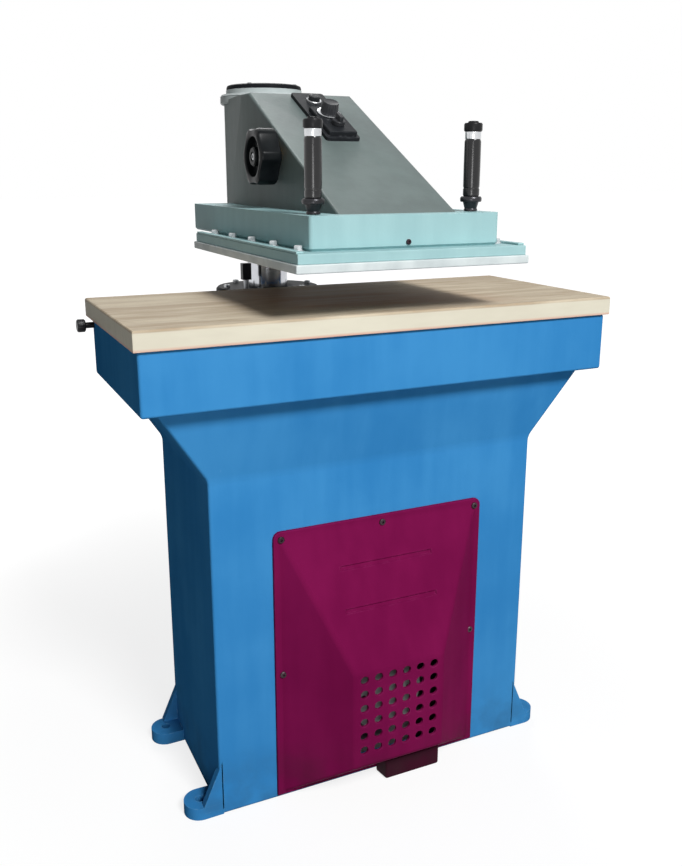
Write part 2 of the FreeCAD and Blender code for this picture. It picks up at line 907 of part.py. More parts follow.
def hub_collar():
    start = at(0, column_back, hub_top)
    collar = ring(hub_collar_radius, hub_collar_radius - hub_collar_wall, start, hub_collar_height)
    rims = [e for e in round_edges(collar) if e.BoundBox.XLength > hub_collar_radius * 2 - hub_collar_wall]
    collar = collar.makeChamfer(hub_collar_height / 6, rims)
    for start, length in cap_screw_shanks():
        collar = collar.cut(rod(cap_screw_radius / 2, start, length))
    return collar


def cap_screw_shanks():
    # Lower end and length of each screw that holds the cap to the collar.
    length = cap_height + hub_collar_height / 2
    shanks = []
    for step in range(cap_screw_count):
        angle = math.radians(360 / cap_screw_count * (step + 0.5))
        x = cap_screw_ring_radius * math.cos(angle)
        y = column_back + cap_screw_ring_radius * math.sin(angle)
        shanks.append((at(x, y, cap_top - length), length))
    return shanks


def hub_cap():
    start = at(0, column_back, collar_top)
    cap = rod(cap_radius, start, cap_height)
    cap = cap.makeChamfer(cap_edge_radius, [e for e in round_edges(cap) if e.CenterOfMass.z > collar_top])
    cap = cap.cut(rod(hub_collar_radius - hub_collar_wall, start, cap_height - cap_wall))
    for start, length in cap_screw_shanks():
        cap = cap.cut(rod(cap_screw_radius / 2, start, length))
    return cap


def cap_screws():
    screws = []
    for start, length in cap_screw_shanks():
        head = rod(cap_screw_radius, start + Z_AXIS * length, cap_screw_head_height)
        screws.append(joined([head, rod(cap_screw_radius / 2, start, length)]))
    return Part.makeCompound(screws)


def platen_carrier():
    half = carrier_width / 2
    return block((-half, half), (carrier_front, carrier_back), (carrier_bottom, beam_underside))


def striking_plate():
    half = carrier_width / 2 + plate_rim
    plate = block(
        (-half, half),
        (carrier_front - plate_rim, carrier_back + plate_rim),
        (carrier_bottom - plate_thickness, carrier_bottom),
    )
    return plate.makeChamfer(plate_rim / 4, [e for e in plate.Edges if abs(e.BoundBox.ZLength) > plate_rim])


def clamp_bar_middle():
    return carrier_width / 2 - clamp_bar_width / 2


def clamp_bar(side):
    middle = side * clamp_bar_middle()
    bar = block(
        (middle - clamp_bar_width / 2, middle + clamp_bar_width / 2),
        (carrier_front + clamp_bar_inset, carrier_back - clamp_bar_inset),
        (beam_underside, beam_underside + clamp_bar_height),
    )
    return bar


def clamp_bolts():
    # A row on each ledge, between the beam and the bar, into the carrier.
    run = carrier_back - carrier_front
    ledge_middle = beam_width / 2 + (carrier_ledge_width - clamp_bar_width) / 2
    bolts = []
    for side in (-1, 1):
        for step in range(clamp_bolt_count):
            y = carrier_front + run * (step + 0.5) / clamp_bolt_count
            centre = at(side * ledge_middle, y, beam_underside)
            head = Part.Face(Part.makePolygon(hexagon(centre, clamp_bolt_radius, Z_AXIS)))
            bolts.append(head.extrude(at(0, 0, clamp_bolt_head)))
    return Part.makeCompound(bolts)


def centre_screw():
    start = at(0, beam_front - centre_screw_show, beam_underside + centre_screw_rise)
    return rod(centre_screw_radius, start, casting_wall + centre_screw_show, Y_AXIS)


def handle_levels():
    flange = beam_top + handle_root_height
    grip = flange + handle_flange_height
    band = grip + grip_length
    hood = band + handle_ring_height
    return flange, grip, band, hood


def handle_stem(x):
    # Turned root with its flange, and the spindle that carries the grip.
    flange, grip, band, hood = handle_levels()
    foot = at(x, handle_front, beam_top - handle_root_height)
    root = rod(handle_root_radius, foot, handle_root_height)
    cone = Part.makeCone(handle_root_radius, grip_radius, handle_root_height, at(x, handle_front, beam_top))
    disc = rod(handle_flange_radius, at(x, handle_front, flange), handle_flange_height)
    disc = disc.makeChamfer(handle_flange_height / 4, round_edges(disc))
    spindle = rod(handle_root_radius, at(x, handle_front, flange), band - flange)
    return joined([root, cone, disc, spindle])


def handle_grip(x):
    flange, grip, band, hood = handle_levels()
    sleeve = ring(grip_radius, handle_root_radius, at(x, handle_front, grip), grip_length)
    ends = [e for e in round_edges(sleeve) if e.BoundBox.XLength > grip_radius + handle_root_radius]
    return sleeve.makeChamfer(grip_radius / 8, ends)


def handle_ring(x):
    flange, grip, band, hood = handle_levels()
    bore = button_stem_radius + running_clearance
    return ring(handle_ring_radius, bore, at(x, handle_front, band), handle_ring_height)


def handle_hood(x):
    # Black hood round the thumb button, open at its top.
    flange, grip, band, hood = handle_levels()
    start = at(x, handle_front, hood)
    shell = rod(button_hood_radius, start, button_hood_height)
    shell = shell.makeChamfer(button_hood_height / 7, round_edges(shell))
    well = rod(button_radius + button_gap, start + Z_AXIS * button_stem_radius, button_hood_height)
    return shell.cut(well).cut(rod(button_stem_radius + running_clearance, start, button_hood_height))


def thumb_button(x):
    flange, grip, band, hood = handle_levels()
    seat = hood + button_stem_radius + button_travel + button_gap
    top = rod(button_radius, at(x, handle_front, seat), button_height)
    top = top.makeChamfer(button_height / 5, [e for e in round_edges(top) if e.CenterOfMass.z > seat])
    stem = rod(button_stem_radius, at(x, handle_front, seat - button_stem_length), button_stem_length)
    return joined([top, stem])


def wheel_axis():
    # Outer end of the handwheel's bush in the arm's left flank, and the shaft's run.
    start = at(-ramp_width / 2 - wheel_stand_off, wheel_back, wheel_height)
    run = wheel_boss_length + cam_gap + depth_cam_width
    return start, run


def wheel_bush():
    start, run = wheel_axis()
    return ring(wheel_boss_radius, wheel_shaft_radius + running_clearance, start, wheel_boss_length, X_AXIS)


def depth_handwheel():
    # Lobed hand knob with a dished face round its hub.
    start, run = wheel_axis()
    outer = start - X_AXIS * (wheel_thickness + thrust_gap)
    wheel = rod(wheel_radius, outer, wheel_thickness, X_AXIS)
    wheel = wheel.makeChamfer(wheel_thickness / 8, round_edges(wheel))
    ring_radius = wheel_radius + wheel_scallop_radius - wheel_scallop_depth
    cuts = []
    for lobe in range(wheel_lobes):
        angle = math.radians(360 / wheel_lobes * (lobe + 0.5))
        offset = at(0, ring_radius * math.cos(angle), ring_radius * math.sin(angle))
        cuts.append(rod(wheel_scallop_radius, outer + offset, wheel_thickness, X_AXIS))
    wheel = wheel.cut(Part.makeCompound(cuts))
    dish = ring(wheel_dish_radius, wheel_hub_radius, outer, wheel_dish, X_AXIS)
    wheel = wheel.cut(dish)
    return wheel.cut(rod(wheel_shaft_radius, outer + X_AXIS * wheel_dish, wheel_thickness, X_AXIS))


def wheel_shaft():
    start, run = wheel_axis()
    tail = start - X_AXIS * (wheel_thickness + thrust_gap - wheel_dish)
    return rod(wheel_shaft_radius, tail, run + wheel_thickness + thrust_gap - wheel_dish, X_AXIS)


def depth_cam():
    start, run = wheel_axis()
    side = start + X_AXIS * (run - depth_cam_width)
    disc = rod(depth_cam_radius, side + Z_AXIS * depth_cam_offset, depth_cam_width, X_AXIS)
    return disc.cut(rod(wheel_shaft_radius, side, depth_cam_width, X_AXIS))


def panel_middle():
    return ramp_length - panel_from_top - panel_length / 2


def controls():
    # Place up the ramp, and height of the panel there, of the selector, the timer and the start button.
    low = panel_middle() - panel_length / 2
    deck = panel_thickness + panel_deck_height
    on_deck = [(low + selector_setback, deck), (low + timer_setback, deck)]
    return on_deck + [(low + start_setback, panel_thickness)]


def control_bore(level, face):
    start = at(panel_offset, level, -arm_wall)
    return rod(control_stem_radius + running_clearance, start, arm_wall + face)


def control_panel():
    half_x, half_y = panel_width / 2, panel_length / 2
    plate = block(
        (panel_offset - half_x, panel_offset + half_x),
        (panel_middle() - half_y, panel_middle() + half_y),
        (0, panel_thickness),
    )
    plate = plate.makeFillet(panel_corner, upright_edges(plate, lambda point: True))
    top = [e for e in plate.Edges if e.BoundBox.ZMin > panel_thickness / 2]
    plate = plate.makeChamfer(panel_thickness / 5, top)
    low = panel_middle() - half_y + panel_corner
    deck = block(
        (panel_offset - half_x + panel_corner, panel_offset + half_x - panel_corner),
        (low, low + panel_deck_length),
        (panel_thickness / 2, panel_thickness + panel_deck_height),
    )
    deck = deck.makeFillet(panel_corner / 2, upright_edges(deck, lambda point: True))
    plate = joined([plate, deck])
    for level, face in controls():
        plate = plate.cut(control_bore(level, face))
    return on_ramp(plate)


def control_stem(level, face):
    length = arm_wall / 2 + face + thrust_gap
    return rod(control_stem_radius, at(panel_offset, level, -arm_wall / 2), length)


def selector_knob():
    level, face = controls()[0]
    base = at(panel_offset, level, face + thrust_gap)
    skirt = rod(selector_radius, base, selector_height)
    bar = block(
        (panel_offset - selector_bar / 2, panel_offset + selector_bar / 2),
        (level - selector_radius, level + selector_radius),
        (base.z + selector_height, base.z + selector_height + selector_bar_height),
    )
    return on_ramp(joined([skirt, bar, control_stem(level, face)]))


def timer_knob():
    level, face = controls()[1]
    base = at(panel_offset, level, face + thrust_gap)
    skirt = rod(timer_skirt_radius, base, timer_skirt_height)
    crown_base = base + Z_AXIS * timer_skirt_height
    crown = Part.makeCone(timer_radius, timer_radius - timer_taper, timer_height, crown_base)
    return on_ramp(joined([skirt, crown, control_stem(level, face)]))


def start_button_rim():
    level, face = controls()[2]
    base = at(panel_offset, level, face)
    return on_ramp(ring(start_rim_radius, start_radius + button_gap, base, start_rim_height))


def start_button():
    level, face = controls()[2]
    base = at(panel_offset, level, face + start_travel + thrust_gap)
    head = rod(start_radius, base, start_height)
    head = head.makeChamfer(start_height / 5, [e for e in round_edges(head) if e.CenterOfMass.z > base.z])
    return on_ramp(joined([head, control_stem(level, face + start_travel)]))


def tank_shelf():
    half_x = half_pedestal - casting_wall - shelf_clearance
    half_y = pedestal_rear - casting_wall - shelf_clearance
    return block((-half_x, half_x), (-half_y, half_y), (shelf_height, shelf_top))


def oil_tank():
    # Welded tray between the ledges, closed by the shelf above it as its lid.
    def tray(wall):
        half_x = half_pedestal - casting_wall - ledge_width - tank_side_gap - wall
        half_y = pedestal_rear - casting_wall - tank_end_gap - wall
        return block((-half_x, half_x), (-half_y, half_y), (tank_floor + wall, shelf_height))

    return tray(0).cut(tray(tank_wall))


def motor_rear():
    return motor_front + motor_length


def motor_body():
    # Finned motor with its two feet on the shelf and a bore for the shaft.
    axis = at(0, motor_front, motor_axis_height)
    core = rod(motor_radius - motor_fin_height, axis, motor_length, Y_AXIS)
    fins = []
    for step in range(motor_fin_count):
        fin = block(
            (-motor_fin_width / 2, motor_fin_width / 2),
            (motor_front + motor_fin_height, motor_rear() - motor_fin_height),
            (motor_radius / 2, motor_radius),
        )
        fin.rotate(at(0, 0, 0), Y_AXIS, 360 / motor_fin_count * step)
        fin.translate(at(0, 0, motor_axis_height))
        fins.append(fin)
    middle = motor_front + motor_length / 2
    foot = block(
        (-motor_foot_width / 2, motor_foot_width / 2),
        (middle - motor_foot_length / 2, middle + motor_foot_length / 2),
        (shelf_top, motor_axis_height - motor_radius / 2),
    )
    rear_axis = at(0, motor_rear() - motor_fin_height, motor_axis_height)
    shields = [rod(motor_radius, start, motor_fin_height, Y_AXIS) for start in (axis, rear_axis)]
    body = joined([core, foot] + shields + fins)
    return body.cut(rod(motor_shaft_radius + running_clearance, axis, motor_length, Y_AXIS))


def fan_cover():
    # Pressed cup over the fan, with a ring of round slots in its face.
    start = at(0, motor_front - fan_cover_length, motor_axis_height)
    cup = rod(motor_radius, start, fan_cover_length, Y_AXIS)
    inside = rod(motor_radius - fan_cover_wall, start + Y_AXIS * fan_cover_wall, fan_cover_length, Y_AXIS)
    slots = []
    for step in range(fan_slot_count):
        angle = math.radians(360 / fan_slot_count * step)
        offset = at(fan_slot_ring * math.cos(angle), 0, fan_slot_ring * math.sin(angle))
        slots.append(rod(fan_slot_radius, start + offset, fan_cover_wall, Y_AXIS))
    return cup.cut(inside).cut(Part.makeCompound(slots))


def motor_shaft():
    front = motor_front - fan_gap - fan_width
    rear = motor_rear() + coupling_gap + coupling_length
    return rod(motor_shaft_radius, at(0, front, motor_axis_height), rear - front, Y_AXIS)


def motor_fan():
    start = at(0, motor_front - fan_gap - fan_width, motor_axis_height)
    hub = rod(fan_hub_radius, start, fan_width, Y_AXIS)
    blades = []
    for step in range(fan_blade_count):
        half = fan_blade_thickness / 2
        blade = block((-half, half), (0, fan_width), (fan_hub_radius / 2, fan_radius))
        blade.rotate(at(0, 0, 0), Y_AXIS, 360 / fan_blade_count * step)
        blade.translate(start)
        blades.append(blade)
    wheel = joined([hub] + blades)
    return wheel.cut(rod(motor_shaft_radius, start, fan_width, Y_AXIS))


def shaft_coupling():
    start = at(0, motor_rear() + coupling_gap, motor_axis_height)
    return ring(coupling_radius, motor_shaft_radius, start, coupling_length, Y_AXIS)


def bell_housing():
    start = at(0, motor_rear(), motor_axis_height)
    return ring(bell_radius, bell_radius - bell_wall, start, bell_length, Y_AXIS)


def gear_pump():
    front = motor_rear() + bell_length
    half = pump_width / 2
    z_range = (motor_axis_height - half, motor_axis_height + half)
    body = block((-half, half), (front, front + pump_length), z_range)
    long_edges = [e for e in body.Edges if abs(e.tangentAt(e.FirstParameter).y) > 0.9]
    return body.makeFillet(half / 4, long_edges)


def valve_block():
    half = manifold_width / 2
    x_range = (manifold_offset - half, manifold_offset + half)
    y_range = (-manifold_depth / 2, manifold_depth / 2)
    return block(x_range, y_range, (shelf_top, shelf_top + manifold_height))


def solenoid_valve():
    # Control valve on top of the block, with a coil at each end.
    base = shelf_top + manifold_height
    half = valve_width / 2
    body = block((manifold_offset - half, manifold_offset + half), (-half, half), (base, base + valve_height))
    axis_z = base + valve_height / 2
    coils = []
    for start_y in (-half - solenoid_length, half):
        coils.append(rod(solenoid_radius, at(manifold_offset, start_y, axis_z), solenoid_length, Y_AXIS))
    return joined([body] + coils)


def pressure_pipe():
    # From the pump's left port to the valve block.
    y = motor_rear() + bell_length + pump_length / 2
    side = manifold_offset + manifold_width / 2
    half = pump_width / 2
    return bent_pipe(
        [
            at(-half, y, motor_axis_height),
            at((side - half) / 2, y, motor_axis_height),
            at((side - half) / 2, 0, pressure_pipe_height),
            at(side, 0, pressure_pipe_height),
        ],
        pipe_radius,
        pipe_bend,
    )


def feed_pipe():
    # From the valve up and back through the wall to the cylinder above the piston.
    top = shelf_top + manifold_height + valve_height
    return bent_pipe(
        [
            at(manifold_offset, 0, top),
            at(manifold_offset, 0, feed_pipe_height),
            at(0, 0, feed_pipe_height),
            at(0, column_back - liner_radius - liner_wall, feed_pipe_height),
        ],
        pipe_radius,
        pipe_bend,
    )


def control_box():
    outer = half_pedestal - casting_wall
    body = block(
        (outer - control_box_thickness, outer),
        (-control_box_depth / 2, control_box_depth / 2),
        (control_box_level, control_box_level + control_box_height),
    )
    inner = upright_edges(body, lambda point: point.x < outer - control_box_edge)
    return body.makeFillet(control_box_edge, inner)


nodes = {
    "frame_casting": frame_casting(),
    "cutting_board": cutting_board(),
    "board_lock_knob": board_lock_knob(),
    "service_cover": service_cover(),
    "cover_screws": cover_screws(),
    "cover_toe": cover_toe(),
    "rear_column_housing": rear_column_housing(),
    "housing_bolts": housing_bolts(),
    "column_gland": column_gland(),
    "gland_bolts": gland_bolts(),
    "upper_column_bush": upper_column_bush(),
    "lower_column_bush": lower_column_bush(),
    "cylinder_gland": cylinder_gland(),
    "cylinder_liner": cylinder_liner(),
    "switch_post": switch_post(),
    "stroke_switch": stroke_switch(),
    "tank_shelf": tank_shelf(),
    "oil_tank": oil_tank(),
    "motor_body": motor_body(),
    "fan_cover": fan_cover(),
    "bell_housing": bell_housing(),
    "gear_pump": gear_pump(),
    "valve_block": valve_block(),
    "solenoid_valve": solenoid_valve(),
    "pressure_pipe": pressure_pipe(),
    "feed_pipe": feed_pipe(),
    "control_box": control_box(),
    "motor_shaft": motor_shaft(),
    "motor_fan": motor_fan(),
    "shaft_coupling": shaft_coupling(),
    "column_post": column_post(),
    "thrust_washer": thrust_washer(),
    "column_nut": column_nut(),
    "piston": piston(),
    "piston_rings": piston_rings(),
    "arm_casting": arm_casting(),
    "hub_bushes": Part.makeCompound([hub_lower_bush(), hub_upper_bush()]),
    "hub_collar": hub_collar(),
    "hub_cap": hub_cap(),
    "cap_screws": cap_screws(),
    "platen_carrier": platen_carrier(),
    "striking_plate": striking_plate(),
    "clamp_bars": Part.makeCompound([clamp_bar(-1), clamp_bar(1)]),
    "clamp_bolts": clamp_bolts(),
    "centre_screw": centre_screw(),
    "wheel_bush": wheel_bush(),
    "depth_handwheel": depth_handwheel(),
    "wheel_shaft": wheel_shaft(),
    "depth_cam": depth_cam(),
    "control_panel": control_panel(),
    "selector_knob": selector_knob(),
    "timer_knob": timer_knob(),
    "start_button_rim": start_button_rim(),
    "start_button": start_button(),
}
sides = {"left": -handle_spread, "right": handle_spread}
for side, x in sides.items():
    nodes[side + "_thumb_button"] = thumb_button(x)
handle_pieces = {
    "handle_stems": handle_stem,
    "handle_grips": handle_grip,
    "handle_rings": handle_ring,
    "handle_hoods": handle_hood,
}
for name, piece in handle_pieces.items():
    nodes[name] = Part.makeCompound([piece(x) for x in sides.values()])

os.makedirs("parts", exist_ok=True)
for name, shape in nodes.items():
    shape.exportStep("parts/" + name + ".step")
print(len(nodes), "nodes")
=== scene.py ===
import math

import bmesh
import bpy
from mathutils import Matrix, Vector


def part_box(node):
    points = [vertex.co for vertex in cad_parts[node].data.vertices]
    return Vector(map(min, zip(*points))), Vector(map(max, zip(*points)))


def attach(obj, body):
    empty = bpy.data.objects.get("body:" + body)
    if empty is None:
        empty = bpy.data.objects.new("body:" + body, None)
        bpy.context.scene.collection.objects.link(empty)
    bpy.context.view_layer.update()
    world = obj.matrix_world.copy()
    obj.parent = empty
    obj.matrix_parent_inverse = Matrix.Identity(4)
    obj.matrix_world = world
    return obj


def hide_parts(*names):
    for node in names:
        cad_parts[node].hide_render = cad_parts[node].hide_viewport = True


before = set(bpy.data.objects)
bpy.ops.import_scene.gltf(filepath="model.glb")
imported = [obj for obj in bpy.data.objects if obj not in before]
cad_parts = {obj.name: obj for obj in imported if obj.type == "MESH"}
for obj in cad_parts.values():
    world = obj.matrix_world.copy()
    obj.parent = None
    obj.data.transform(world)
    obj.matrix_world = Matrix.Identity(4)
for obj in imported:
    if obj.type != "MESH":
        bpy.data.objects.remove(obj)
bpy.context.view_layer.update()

# Pedestal and table: one hollow iron casting, open at the floor, with a window behind the service cover.
# Cast iron, filled and sprayed with blue machine enamel.
# It stands on four lugs that are bolted to the floor.
pedestal_half, pedestal_front, pedestal_rear = 0.326, -0.155, 0.155
haunch_foot, haunch_half, haunch_front, haunch_round = 0.648, 0.415, -0.183, 0.0085
table_underside, table_top, table_half, table_front = 0.784, 0.889, 0.443, -0.211
haunch_stages = [
    (haunch_foot, pedestal_half, pedestal_front),
    (table_underside, haunch_half, haunch_front),
    (table_underside, table_half, table_front),
    (table_top, table_half, table_front),
]
casting_wall, casting_edge = 0.014, 0.005
near_middle = 0.01
window_half, window_low, window_high = 0.185, 0.037, 0.511
lug_x, lug_y, lug_radius, lug_height, lug_bolt = 0.356, 0.125, 0.030, 0.024, 0.009
gusset_height, gusset_thickness, gusset_toe = 0.086, 0.014, 0.002
seat_half, seat_low, seat_high, seat_width, seat_root = 0.141, 0.074, 0.086, 0.024, 0.002


class Signal:
    """A socket of a finish: sums and products of signals add their Math nodes."""

    def __init__(self, tree, socket):
        self.tree, self.socket = tree, socket

    def node(self, kind, settings=None, inputs=None, output=0):
        made = self.tree.nodes.new(kind)
        for key, value in (settings or {}).items():
            setattr(made, key, value)
        for key, value in (inputs or {}).items():
            if isinstance(value, Signal):
                self.tree.links.new(value.socket, made.inputs[key])
            else:
                made.inputs[key].default_value = value
        return Signal(self.tree, made.outputs[output])

    def math(self, operation, first, second):
        return self.node("ShaderNodeMath", {"operation": operation}, {0: first, 1: second})

    def __add__(self, other):
        return self.math("ADD", self, other)

    def __sub__(self, other):
        return self.math("SUBTRACT", self, other)

    def __rsub__(self, other):
        return self.math("SUBTRACT", other, self)

    def __mul__(self, other):
        return self.math("MULTIPLY", self, other)

    __radd__ = __add__
    __rmul__ = __mul__

    def band(self, low, high):
        ends = {"Value": self, "From Min": low, "From Max": high}
        return self.node("ShaderNodeMapRange", {"interpolation_type": "SMOOTHSTEP"}, ends)

    def blend(self, below, above):
        return self.node("ShaderNodeMix", {"data_type": "RGBA"}, {0: self, 6: below, 7: above}, 2)


def tint(red, green, blue):
    """A colour given as screen values, as the linear colour of a shader."""
    shares = [value / 255 for value in (red, green, blue)]
    linear = [(c + 0.055) ** 2.4 / 1.055**2.4 if c > 0.0405 else c / 12.92 for c in shares]
    return (*linear, 1.0)


def new_finish(name):
    material = bpy.data.materials.new(name)
    material.use_nodes = True
    tree = material.node_tree
    place = Signal(tree, tree.nodes.new("ShaderNodeTexCoord").outputs["Object"])
    return material, tree.nodes["Principled BSDF"], place


def noise(place, scale, detail=3.0, stretch=(1, 1, 1)):
    spot = place.node("ShaderNodeMapping", None, {"Vector": place, "Scale": stretch})
    return spot.node("ShaderNodeTexNoise", None, {"Vector": spot, "Scale": scale, "Detail": detail})


def bump(height, depth, strength=1.0):
    return height.node("ShaderNodeBump", None, {"Height": height, "Distance": depth, "Strength": strength})


def rubbed_edge(place, radius):
    """Where the surface turns over an edge, as a value from 0 to 1."""
    soft = place.node("ShaderNodeBevel", {"samples": 4}, {"Radius": radius})
    hard = place.node("ShaderNodeNewGeometry", None, None, "Normal")
    match = place.node("ShaderNodeVectorMath", {"operation": "DOT_PRODUCT"}, {0: soft, 1: hard}, "Value")
    return (1 - match).band(0.02, 0.22)


def coat(shader, **inputs):
    tree = shader.id_data
    for key, value in inputs.items():
        socket = shader.inputs[key.replace("_", " ")]
        if isinstance(value, Signal):
            tree.links.new(value.socket, socket)
        else:
            socket.default_value = value


def enamel(name, tone, deep, worn, gloss, peel, dust=None, shine=0.06):
    """Sprayed machine paint: clouded colour, orange-peel skin, edges rubbed thin, dust near the floor."""
    material, shader, place = new_finish(name)
    cloud = noise(place, 4.0, 5)
    speck = noise(place, 90.0, 5)
    skin = noise(place, 230.0, 2)
    runs = noise(place, 30.0, 3, (1, 1, 0.12))
    colour = (cloud * 0.7 + runs * 0.3).band(0.36, 0.64).blend(deep, tone)
    rubbed = rubbed_edge(place, 0.004) * speck.band(0.42, 0.66)
    colour = (rubbed * 0.7).blend(colour, worn)
    chips = speck.band(0.71, 0.75) * cloud.band(0.55, 0.7)
    colour = (chips * 0.5).blend(colour, worn)
    if dust:
        height = place.node("ShaderNodeSeparateXYZ", None, {0: place}, "Z")
        settled = (1 - height.band(0.0, 0.16)) * noise(place, 18.0, 6).band(0.3, 0.75)
        colour = (settled * 0.55).blend(colour, dust)
    rough = gloss + cloud * 0.10 + speck * 0.10 + rubbed * 0.15
    relief = bump(skin + speck * 0.4, 0.0006, peel)
    coat(shader, Base_Color=colour, Roughness=rough, Normal=relief, Specular_IOR_Level=shine)
    return material


def soften(bm, edges, width, segments=3):
    bmesh.ops.bevel(
        bm, geom=edges, offset=width, offset_type="OFFSET", segments=segments, profile=0.5,
        affect="EDGES", clamp_overlap=True, material=-1,
    )


def crisp(bm, degrees=35, outward=False):
    """The edges that turn by more than the given angle, or of those the outward ones."""
    pairs = [edge for edge in bm.edges if len(edge.link_faces) == 2]
    sharp = [edge for edge in pairs if edge.calc_face_angle() > math.radians(degrees)]
    return [edge for edge in sharp if edge.is_convex] if outward else sharp


def slab(bm, low, high):
    low, high = Vector(low), Vector(high)
    size = Matrix.Diagonal((*(high - low), 1))
    return bmesh.ops.create_cube(bm, size=1, matrix=Matrix.Translation((low + high) / 2) @ size)["verts"]


def with_rims(faces):
    """Faces with their edges and corners, as the cutting operators want them."""
    edges = {edge for face in faces for edge in face.edges}
    corners = {vert for face in faces for vert in face.verts}
    return list(faces) + list(edges) + list(corners)


def score(bm, faces, spot, lean):
    """Cuts a line across some faces where a plane meets them."""
    bmesh.ops.bisect_plane(bm, geom=with_rims(faces), dist=1e-7, plane_co=spot, plane_no=lean)


def tidy(bm):
    bmesh.ops.remove_doubles(bm, verts=bm.verts, dist=1e-6)
    bmesh.ops.recalc_face_normals(bm, faces=bm.faces)


def piece(name, bm, body, slot, finishes, *stands_for):
    """Makes the object, keeps its crisp edges, and sets it on its body in place of its CAD nodes."""
    tidy(bm)
    for face in bm.faces:
        face.smooth = True
    for edge in crisp(bm, 42):
        edge.smooth = False
    mesh = bpy.data.meshes.new(name)
    bm.to_mesh(mesh)
    bm.free()
    for finish in finishes if isinstance(finishes, list) else [finishes]:
        mesh.materials.append(finish)
    made = bpy.data.objects.new(name, mesh)
    bpy.context.scene.collection.objects.link(made)
    made.modifiers.new("flat_faces", "WEIGHTED_NORMAL").keep_sharp = True
    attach(made, body)
    if stands_for:
        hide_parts(*stands_for)
    return made


bm = bmesh.new()
plan = [(-pedestal_half, pedestal_rear), (-pedestal_half, pedestal_front)]
plan += [(pedestal_half, pedestal_front), (pedestal_half, pedestal_rear)]
corners = [bm.verts.new((x, y, 0)) for x, y in plan]
rim = [bm.edges.new(pair) for pair in zip(corners, corners[1:])]
bm.edges.new((corners[0], corners[-1]))
for height, half, front in haunch_stages:
    grown = bmesh.ops.extrude_edge_only(bm, edges=rim)["geom"]
    rim = [item for item in grown if isinstance(item, bmesh.types.BMEdge)]
    for vert in {vert for edge in rim for vert in edge.verts}:
        vert.co = (math.copysign(half, vert.co.x), front if vert.co.y < 0 else pedestal_rear, height)
head_ends = [v for v in {v for e in rim for v in e.verts} if v.co.y > 0]
head_edge = bm.edges.new(sorted(head_ends, key=lambda v: v.co.x))
bmesh.ops.edgeloop_fill(bm, edges=rim + [head_edge])
rear_edges = [e for e in bm.edges if all(v.co.y > pedestal_rear - 1e-6 for v in e.verts)]
bmesh.ops.edgeloop_fill(bm, edges=rear_edges)
tidy(bm)
window_lines = [((side * window_half, 0, 0), (1, 0, 0)) for side in (-1, 1)]
window_lines += [((0, 0, level), (0, 0, 1)) for level in (window_low, window_high)]
for spot, lean in window_lines:
    wall = [f for f in bm.faces if f.normal.y < -0.99 and f.calc_center_median().z < haunch_foot]
    score(bm, wall, spot, lean)
opening = []
for face in bm.faces:
    middle = face.calc_center_median()
    if face.normal.y < -0.99 and abs(middle.x) < near_middle and window_low < middle.z < window_high:
        opening.append(face)
bmesh.ops.delete(bm, geom=opening, context="FACES")
bmesh.ops.solidify(bm, geom=list(bm.faces), thickness=casting_wall)
bm.normal_update()
outer_foot = [e for e in bm.edges if all(abs(v.co.z - haunch_foot) < 1e-6 for v in e.verts)]
soften(bm, [e for e in outer_foot if e.calc_face_angle(0) > 0.1], haunch_round, 4)
soften(bm, crisp(bm, 25, True), casting_edge, 3)


def floor_lug(bm, side, end):
    """A round lug with its bolt hole, tied to the wall by an upright gusset."""
    centre = Matrix.Translation((side * lug_x, end * lug_y, 0))
    pad = bmesh.ops.create_circle(bm, segments=32, radius=lug_radius, matrix=centre)["verts"]
    for vert in pad:
        if (vert.co.x - side * lug_x) * side < 0:
            vert.co.x = side * (pedestal_half - casting_wall / 2)
    hole = bmesh.ops.create_circle(bm, segments=32, radius=lug_bolt, matrix=centre)["verts"]
    loops = list({edge for vert in pad + hole for edge in vert.link_edges})
    ring = bmesh.ops.bridge_loops(bm, edges=loops)["faces"]
    raised = bmesh.ops.extrude_face_region(bm, geom=ring)["geom"]
    lifted = [item for item in raised if isinstance(item, bmesh.types.BMVert)]
    bmesh.ops.translate(bm, verts=lifted, vec=(0, 0, lug_height))
    outer = end * (lug_y + lug_radius)
    inner = outer - end * gusset_thickness
    low = (side * (pedestal_half - casting_wall / 2), min(inner, outer), lug_height / 2)
    high = (side * lug_x, max(inner, outer), lug_height + gusset_height)
    web = slab(bm, [min(p) for p in zip(low, high)], [max(p) for p in zip(low, high)])
    for vert in web:
        if abs(vert.co.x) > lug_x - 1e-6 and vert.co.z > lug_height:
            vert.co.z = lug_height + gusset_toe


for side in (-1, 1):
    for end in (-1, 1):
        floor_lug(bm, side, end)
    ledge = side * (pedestal_half - casting_wall)
    shelf_seat = sorted((ledge + side * seat_root, ledge - side * seat_width))
    slab(bm, (shelf_seat[0], -seat_half, seat_low), (shelf_seat[1], seat_half, seat_high))
blue_enamel = enamel(
    "blue_enamel", tint(62, 138, 196), tint(50, 126, 186), tint(112, 168, 210),
    gloss=0.40, peel=0.14, dust=tint(52, 96, 134), shine=0.0,
)
piece("pedestal_shell", bm, "base", "blue_paint", blue_enamel, "frame_casting")

# Cutting block: a loose slab of cream cutting nylon that lies on the table and stands a little proud of it.
# Sawn and planed, with rounded upper edges; dies have left cuts and dull streaks in it.
# The end grain of the sheet shows as a paler band with a pink line at its foot.
block_low, block_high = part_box("cutting_board")
block_edge, block_corner = 0.004, 0.0015


